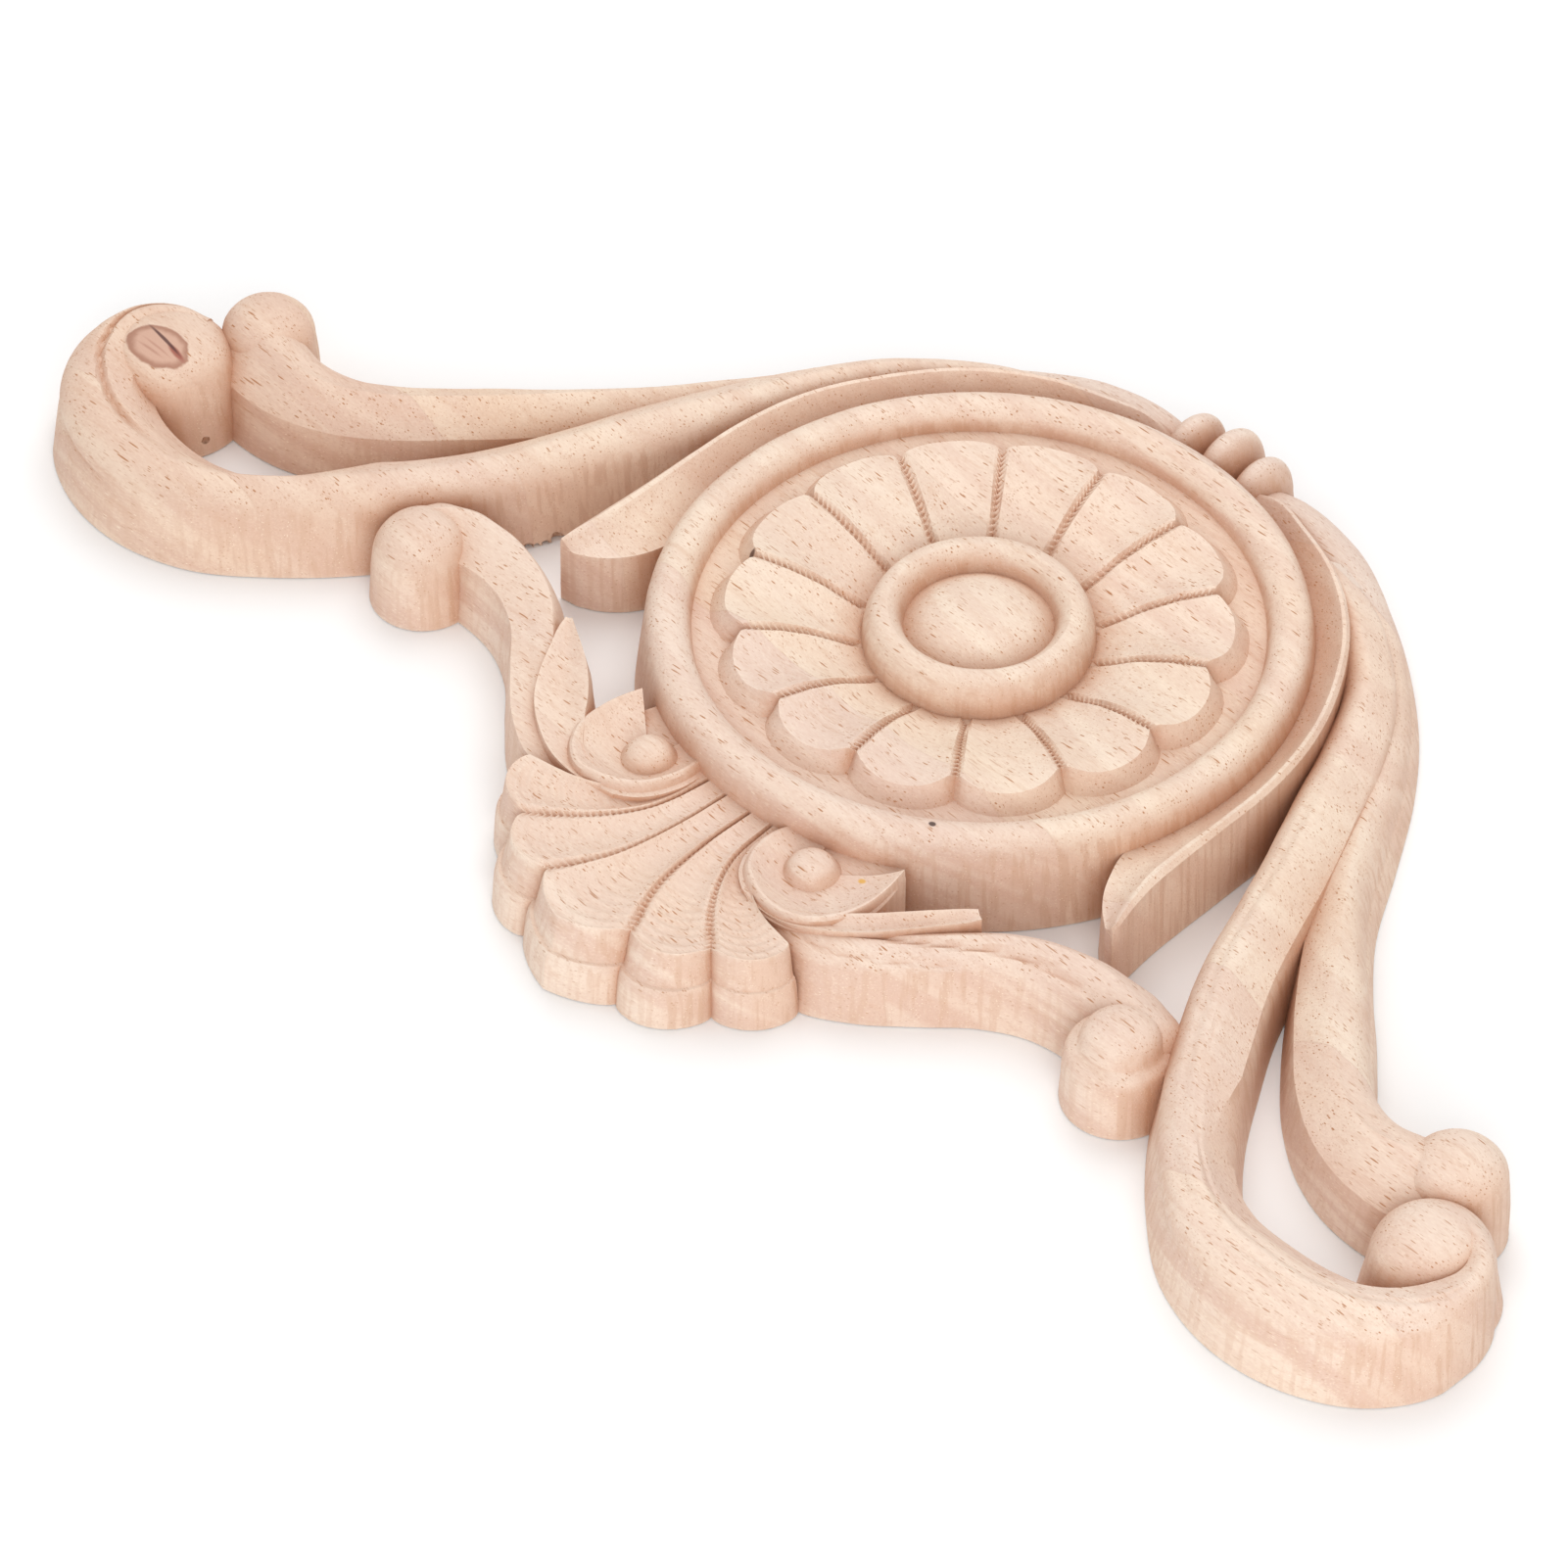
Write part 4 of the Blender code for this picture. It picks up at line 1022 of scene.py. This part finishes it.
def wood_material():
    """Bare rubberwood: strips with flowing growth bands, pores as dashes along X, end grain, and painted
    shade in the creases.
    """
    material = bpy.data.materials.new("bare_rubberwood")
    material.use_nodes = True
    graph = Nodes(material)
    place = graph.add("ShaderNodeTexCoord", "Object", {})
    normal = graph.add("ShaderNodeNewGeometry", "Normal", {})
    facing = graph.add("ShaderNodeSeparateXYZ", "X", {0: normal})
    steep = graph.ramp(graph.math("ABSOLUTE", facing.node.outputs["Z"]), *RAMPS["steep"])
    end_grain = graph.ramp(graph.math("ABSOLUTE", facing), *RAMPS["end grain"])

    strip, joint = strip_tones(graph, place)
    shift = graph.add("ShaderNodeCombineXYZ", 0, {"X": strip, "Y": strip, "Z": strip})
    moved = graph.add("ShaderNodeVectorMath", 0, {0: place, 1: shift}, operation="ADD")
    bands = growth_bands(graph, moved)
    fibres = graph.noise(moved, FIBRE_SCALE, detail=3.0)
    figure = graph.noise(moved, FIGURE_SCALE)

    strength = graph.math("MULTIPLY_ADD", steep, BAND_SHARES[1], BAND_SHARES[0])
    pink = graph.math("MULTIPLY", graph.ramp(bands, *RAMPS["bands"]), strength)
    tone = graph.mix(pink, WOOD_PALE, WOOD_PINK)
    tone = graph.mix(graph.ramp(figure, *RAMPS["figure"]), tone, WOOD_YELLOW)
    tone = graph.mix(graph.ramp(fibres, *RAMPS["fibres"]), tone, WOOD_STREAK)
    grain = graph.noise(moved, GRAIN_SCALE)
    tone = graph.mix(graph.ramp(grain, *RAMPS["dark grain"]), tone, WOOD_STREAK)
    tone = graph.mix(graph.ramp(grain, *RAMPS["pale grain"]), tone, WOOD_FUZZ)
    tint = graph.add("ShaderNodeCombineColor", 0, strip_colour(graph, strip))
    tone = graph.mix(1.0, tone, tint, "MULTIPLY")
    along = graph.add("ShaderNodeSeparateXYZ", "X", {0: place})
    brown = graph.ramp(along, TAN_REACH[1], TAN_REACH[0], TAN_SHARE, 0.0)
    tone = graph.mix(brown, tone, WOOD_TAN, "MULTIPLY")
    tone = graph.mix(graph.math("MULTIPLY", joint, JOINT_SHARE), tone, WOOD_DARK)
    tone = graph.mix(graph.math("MULTIPLY", end_grain, END_GRAIN_SHARE), tone, WOOD_END)
    streaks = graph.noise(place, WALL_STREAK_SCALE)
    shown = graph.math("MULTIPLY_ADD", end_grain, STREAK_SHARES[1], STREAK_SHARES[0])
    shown = graph.math("MULTIPLY", steep, shown)
    shade = graph.math("MULTIPLY", shown, graph.ramp(streaks, *RAMPS["wall streaks"]))
    tone = graph.mix(shade, tone, WOOD_STREAK)
    pores, dust = pore_covers(graph, moved, steep)
    tone = graph.mix(pores, tone, WOOD_PORE)
    tone = graph.mix(dust, tone, WOOD_FUZZ)
    # Painted shade: creases and recesses darkened by ambient occlusion within a short reach
    crease = graph.occlusion(CREASE_SHADE_REACH, samples=2)
    tone = graph.mix(graph.ramp(crease, *RAMPS["crease"]), tone, CREASE_SHADE_COLOUR)
    edge = graph.occlusion(EDGE_REACH, samples=1, inside=True)
    fuzz = graph.math("MULTIPLY", graph.ramp(edge, *RAMPS["edge"]), graph.noise(place, FUZZ_SCALE))
    tone = graph.mix(fuzz, tone, WOOD_FUZZ)
    tone = add_marks(graph, place, tone)

    chatter = graph.math("MULTIPLY", streaks, steep)
    height = graph.math("MULTIPLY_ADD", graph.noise(moved, FIBRE_BUMP_SCALE), FIBRE_BUMP, chatter)
    height = graph.math("MULTIPLY_ADD", grain, GRAIN_BUMP, height)
    inputs = {"Strength": BUMP_STRENGTH, "Distance": BUMP_DEPTH, "Height": height}
    bump = graph.add("ShaderNodeBump", 0, inputs)

    shader = graph.tree.nodes["Principled BSDF"]
    graph.tree.links.new(tone, shader.inputs["Base Color"])
    graph.tree.links.new(graph.ramp(fibres, *RAMPS["roughness"]), shader.inputs["Roughness"])
    graph.tree.links.new(bump, shader.inputs["Normal"])
    shader.inputs["Specular IOR Level"].default_value = WOOD_SPECULAR
    return material


def strip_tones(graph, place):
    """A number for each glued strip of the board, and a cover that is one on the joint lines."""
    across = graph.add("ShaderNodeSeparateXYZ", "Y", {0: place})
    strip, joint = FIRST_STRIP, 0.0
    for line, number in STRIP_JOINTS:
        beyond = graph.math("GREATER_THAN", across, metres(line))
        strip = graph.math("MULTIPLY_ADD", beyond, number, strip)
        gap = graph.math("ABSOLUTE", graph.math("SUBTRACT", across, metres(line)))
        joint = graph.math("MAXIMUM", joint, graph.ramp(gap, *RAMPS["joint"]))
    return strip, joint


def strip_colour(graph, strip):
    """The channels of a strip's own slight tint, read from its number."""
    inputs = {}
    for channel, (rate, reach) in STRIP_TINTS.items():
        wave = graph.math("SINE", graph.math("MULTIPLY", strip, rate))
        inputs[channel] = graph.math("MULTIPLY_ADD", wave, reach, 1.0 - reach)
    return inputs


def growth_bands(graph, place):
    """Soft irregular bands round a far axis along X, as growth layers make them."""
    bent = graph.noise(place, BAND_WAVER_SCALE, detail=1.0)
    split = graph.add("ShaderNodeSeparateXYZ", "X", {0: place})
    heart = graph.math("ADD", split.node.outputs["Z"], HEART_DEPTH)
    side = graph.math("ADD", split.node.outputs["Y"], graph.math("MULTIPLY", split, HEART_LEAN))
    squares = graph.math("ADD", graph.math("POWER", heart, 2.0), graph.math("POWER", side, 2.0))
    radius = graph.math("MULTIPLY_ADD", bent, BAND_WAVER, graph.math("SQRT", squares))
    along = graph.math("MULTIPLY", split, BAND_STRETCH)
    outward = graph.math("MULTIPLY", radius, BAND_RATE)
    flat = graph.add("ShaderNodeCombineXYZ", 0, {"X": along, "Y": outward, "Z": 0.0})
    return graph.noise(flat, (1.0, 1.0, 1.0), detail=3.0)


def pore_covers(graph, place, steep):
    """Covers of the open pores and of those that pale dust fills on the walls. Pores are thin
    dashes along X, and dots where the end grain shows."""
    inputs = {"Vector": graph.scaled(place, PORE_WAVER_SCALE), "Scale": 1.0}
    bend = graph.scaled(graph.add("ShaderNodeTexNoise", "Color", inputs), PORE_WAVER)
    bent = graph.add("ShaderNodeVectorMath", 0, {0: place, 1: bend}, operation="ADD")
    dark, pale = 0.0, 0.0
    level = graph.math("MULTIPLY_ADD", steep, -PORE_WALL_LOSS, 1.0)
    for along, across, reach, least, most, dusty in PORE_LAYERS:
        cells = {"Vector": graph.scaled(bent, (along, across, across)), "Scale": 1.0}
        distance = graph.add("ShaderNodeTexVoronoi", "Distance", cells)
        chance = graph.add("ShaderNodeSeparateColor", "Red", {0: distance.node.outputs["Color"]})
        depth = graph.ramp(chance, 0.0, 1.0, least, most)
        spots = graph.math("MULTIPLY", depth, graph.ramp(distance, PORE_CORE * reach, reach, 1.0, 0.0))
        if dusty:
            pale = graph.math("MULTIPLY", spots, steep)
        dark = graph.math("MAXIMUM", dark, graph.math("MULTIPLY", spots, level))
    return dark, pale


def add_marks(graph, place, tone):
    """The tone with the knot and its crack, the small specks, and the painted shade in the chips and the
    hole.
    """
    # Painted shade: a dark spot in each chip and in the hole
    chip_shades = [((x, y, z), (dark,) * 3, 0.0, CHIP_SHADE_COLOUR, CHIP_SHADE_FADE) for x, y, z, _, dark in CHIPS if dark]
    for centre, reach, turn, shade, soft in MARKS + chip_shades:
        spot = tuple(metres(value) for value in centre)
        size = tuple(metres(value) for value in reach)
        inputs = {"Vector": place, "Location": spot, "Rotation": (0.0, 0.0, turn), "Scale": size}
        local = graph.add("ShaderNodeMapping", 0, inputs, vector_type="TEXTURE")
        distance = graph.add("ShaderNodeVectorMath", "Value", {0: local}, operation="LENGTH")
        waver = graph.math("MULTIPLY_ADD", graph.noise(place, MARK_WAVER_SCALE), MARK_WAVER, distance)
        tone = graph.mix(graph.ramp(waver, MARK_EDGE - soft, MARK_EDGE, MARK_SHARE, 0.0), tone, shade)
    return tone


def add_camera():
    """The photograph's camera."""
    az, el, roll = CAMERA_AZIMUTH, CAMERA_ELEVATION, CAMERA_ROLL
    back = Vector((math.sin(az) * math.cos(el), -math.cos(az) * math.cos(el), math.sin(el)))
    level = Vector((math.cos(az), math.sin(az), 0.0))
    upward = back.cross(level)
    right = math.cos(roll) * level + math.sin(roll) * upward
    up = math.cos(roll) * upward - math.sin(roll) * level
    eye = (Vector(CAMERA_TARGET) + CAMERA_DISTANCE * back) * RIM_RADIUS
    data = bpy.data.cameras.new("camera")
    data.sensor_width = SENSOR_WIDTH
    data.lens = FOCAL_PIXELS / IMAGE_SIZE * SENSOR_WIDTH
    data.clip_start, data.clip_end = CLIP_RANGE
    camera = bpy.data.objects.new("camera", data)
    rows = [(right[axis], up[axis], back[axis], eye[axis]) for axis in range(3)]
    camera.matrix_world = Matrix((*rows, (0.0, 0.0, 0.0, 1.0)))
    bpy.context.scene.collection.objects.link(camera)
    bpy.context.scene.camera = camera


def add_floor():
    """A plain pale floor."""
    bm = bmesh.new()
    bmesh.ops.create_grid(bm, x_segments=1, y_segments=1, size=FLOOR_REACH)
    floor = finish_object(bm, "floor", bpy.context.scene.collection)
    floor.location = (0.0, 0.0, -FLOOR_DROP)
    material = bpy.data.materials.new("floor")
    material.use_nodes = True
    shader = material.node_tree.nodes["Principled BSDF"]
    shader.inputs["Base Color"].default_value = FLOOR_COLOUR
    shader.inputs["Roughness"].default_value = FLOOR_ROUGHNESS
    shader.inputs["Specular IOR Level"].default_value = 0.0
    floor.data.materials.append(material)


def add_light(name, place, size, power):
    """A square soft light aimed at the object."""
    data = bpy.data.lights.new(name, "AREA")
    data.shape = "SQUARE"
    data.size = size
    data.energy = power
    light = bpy.data.objects.new(name, data)
    light.location = place
    light.rotation_euler = Vector(place).to_track_quat("Z", "Y").to_euler()
    bpy.context.scene.collection.objects.link(light)


def add_studio():
    """Soft light from above and behind, with fill from the front, and a white world."""
    world = bpy.data.worlds.new("studio")
    bpy.context.scene.world = world
    world.use_nodes = True
    world.node_tree.nodes["Background"].inputs["Color"].default_value = WORLD_COLOUR
    world.node_tree.nodes["Background"].inputs["Strength"].default_value = WORLD_STRENGTH
    for light in LIGHTS:
        add_light(*light)
    bpy.context.scene.view_settings.view_transform = "Standard"


def main():
    """Builds the piece and the studio."""
    add_camera()
    piece = carved_piece()
    roughen(piece)
    piece.data.materials.clear()
    piece.data.materials.append(wood_material())
    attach(piece, "root")
    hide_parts("carved_applique")
    add_floor()
    add_studio()


main()
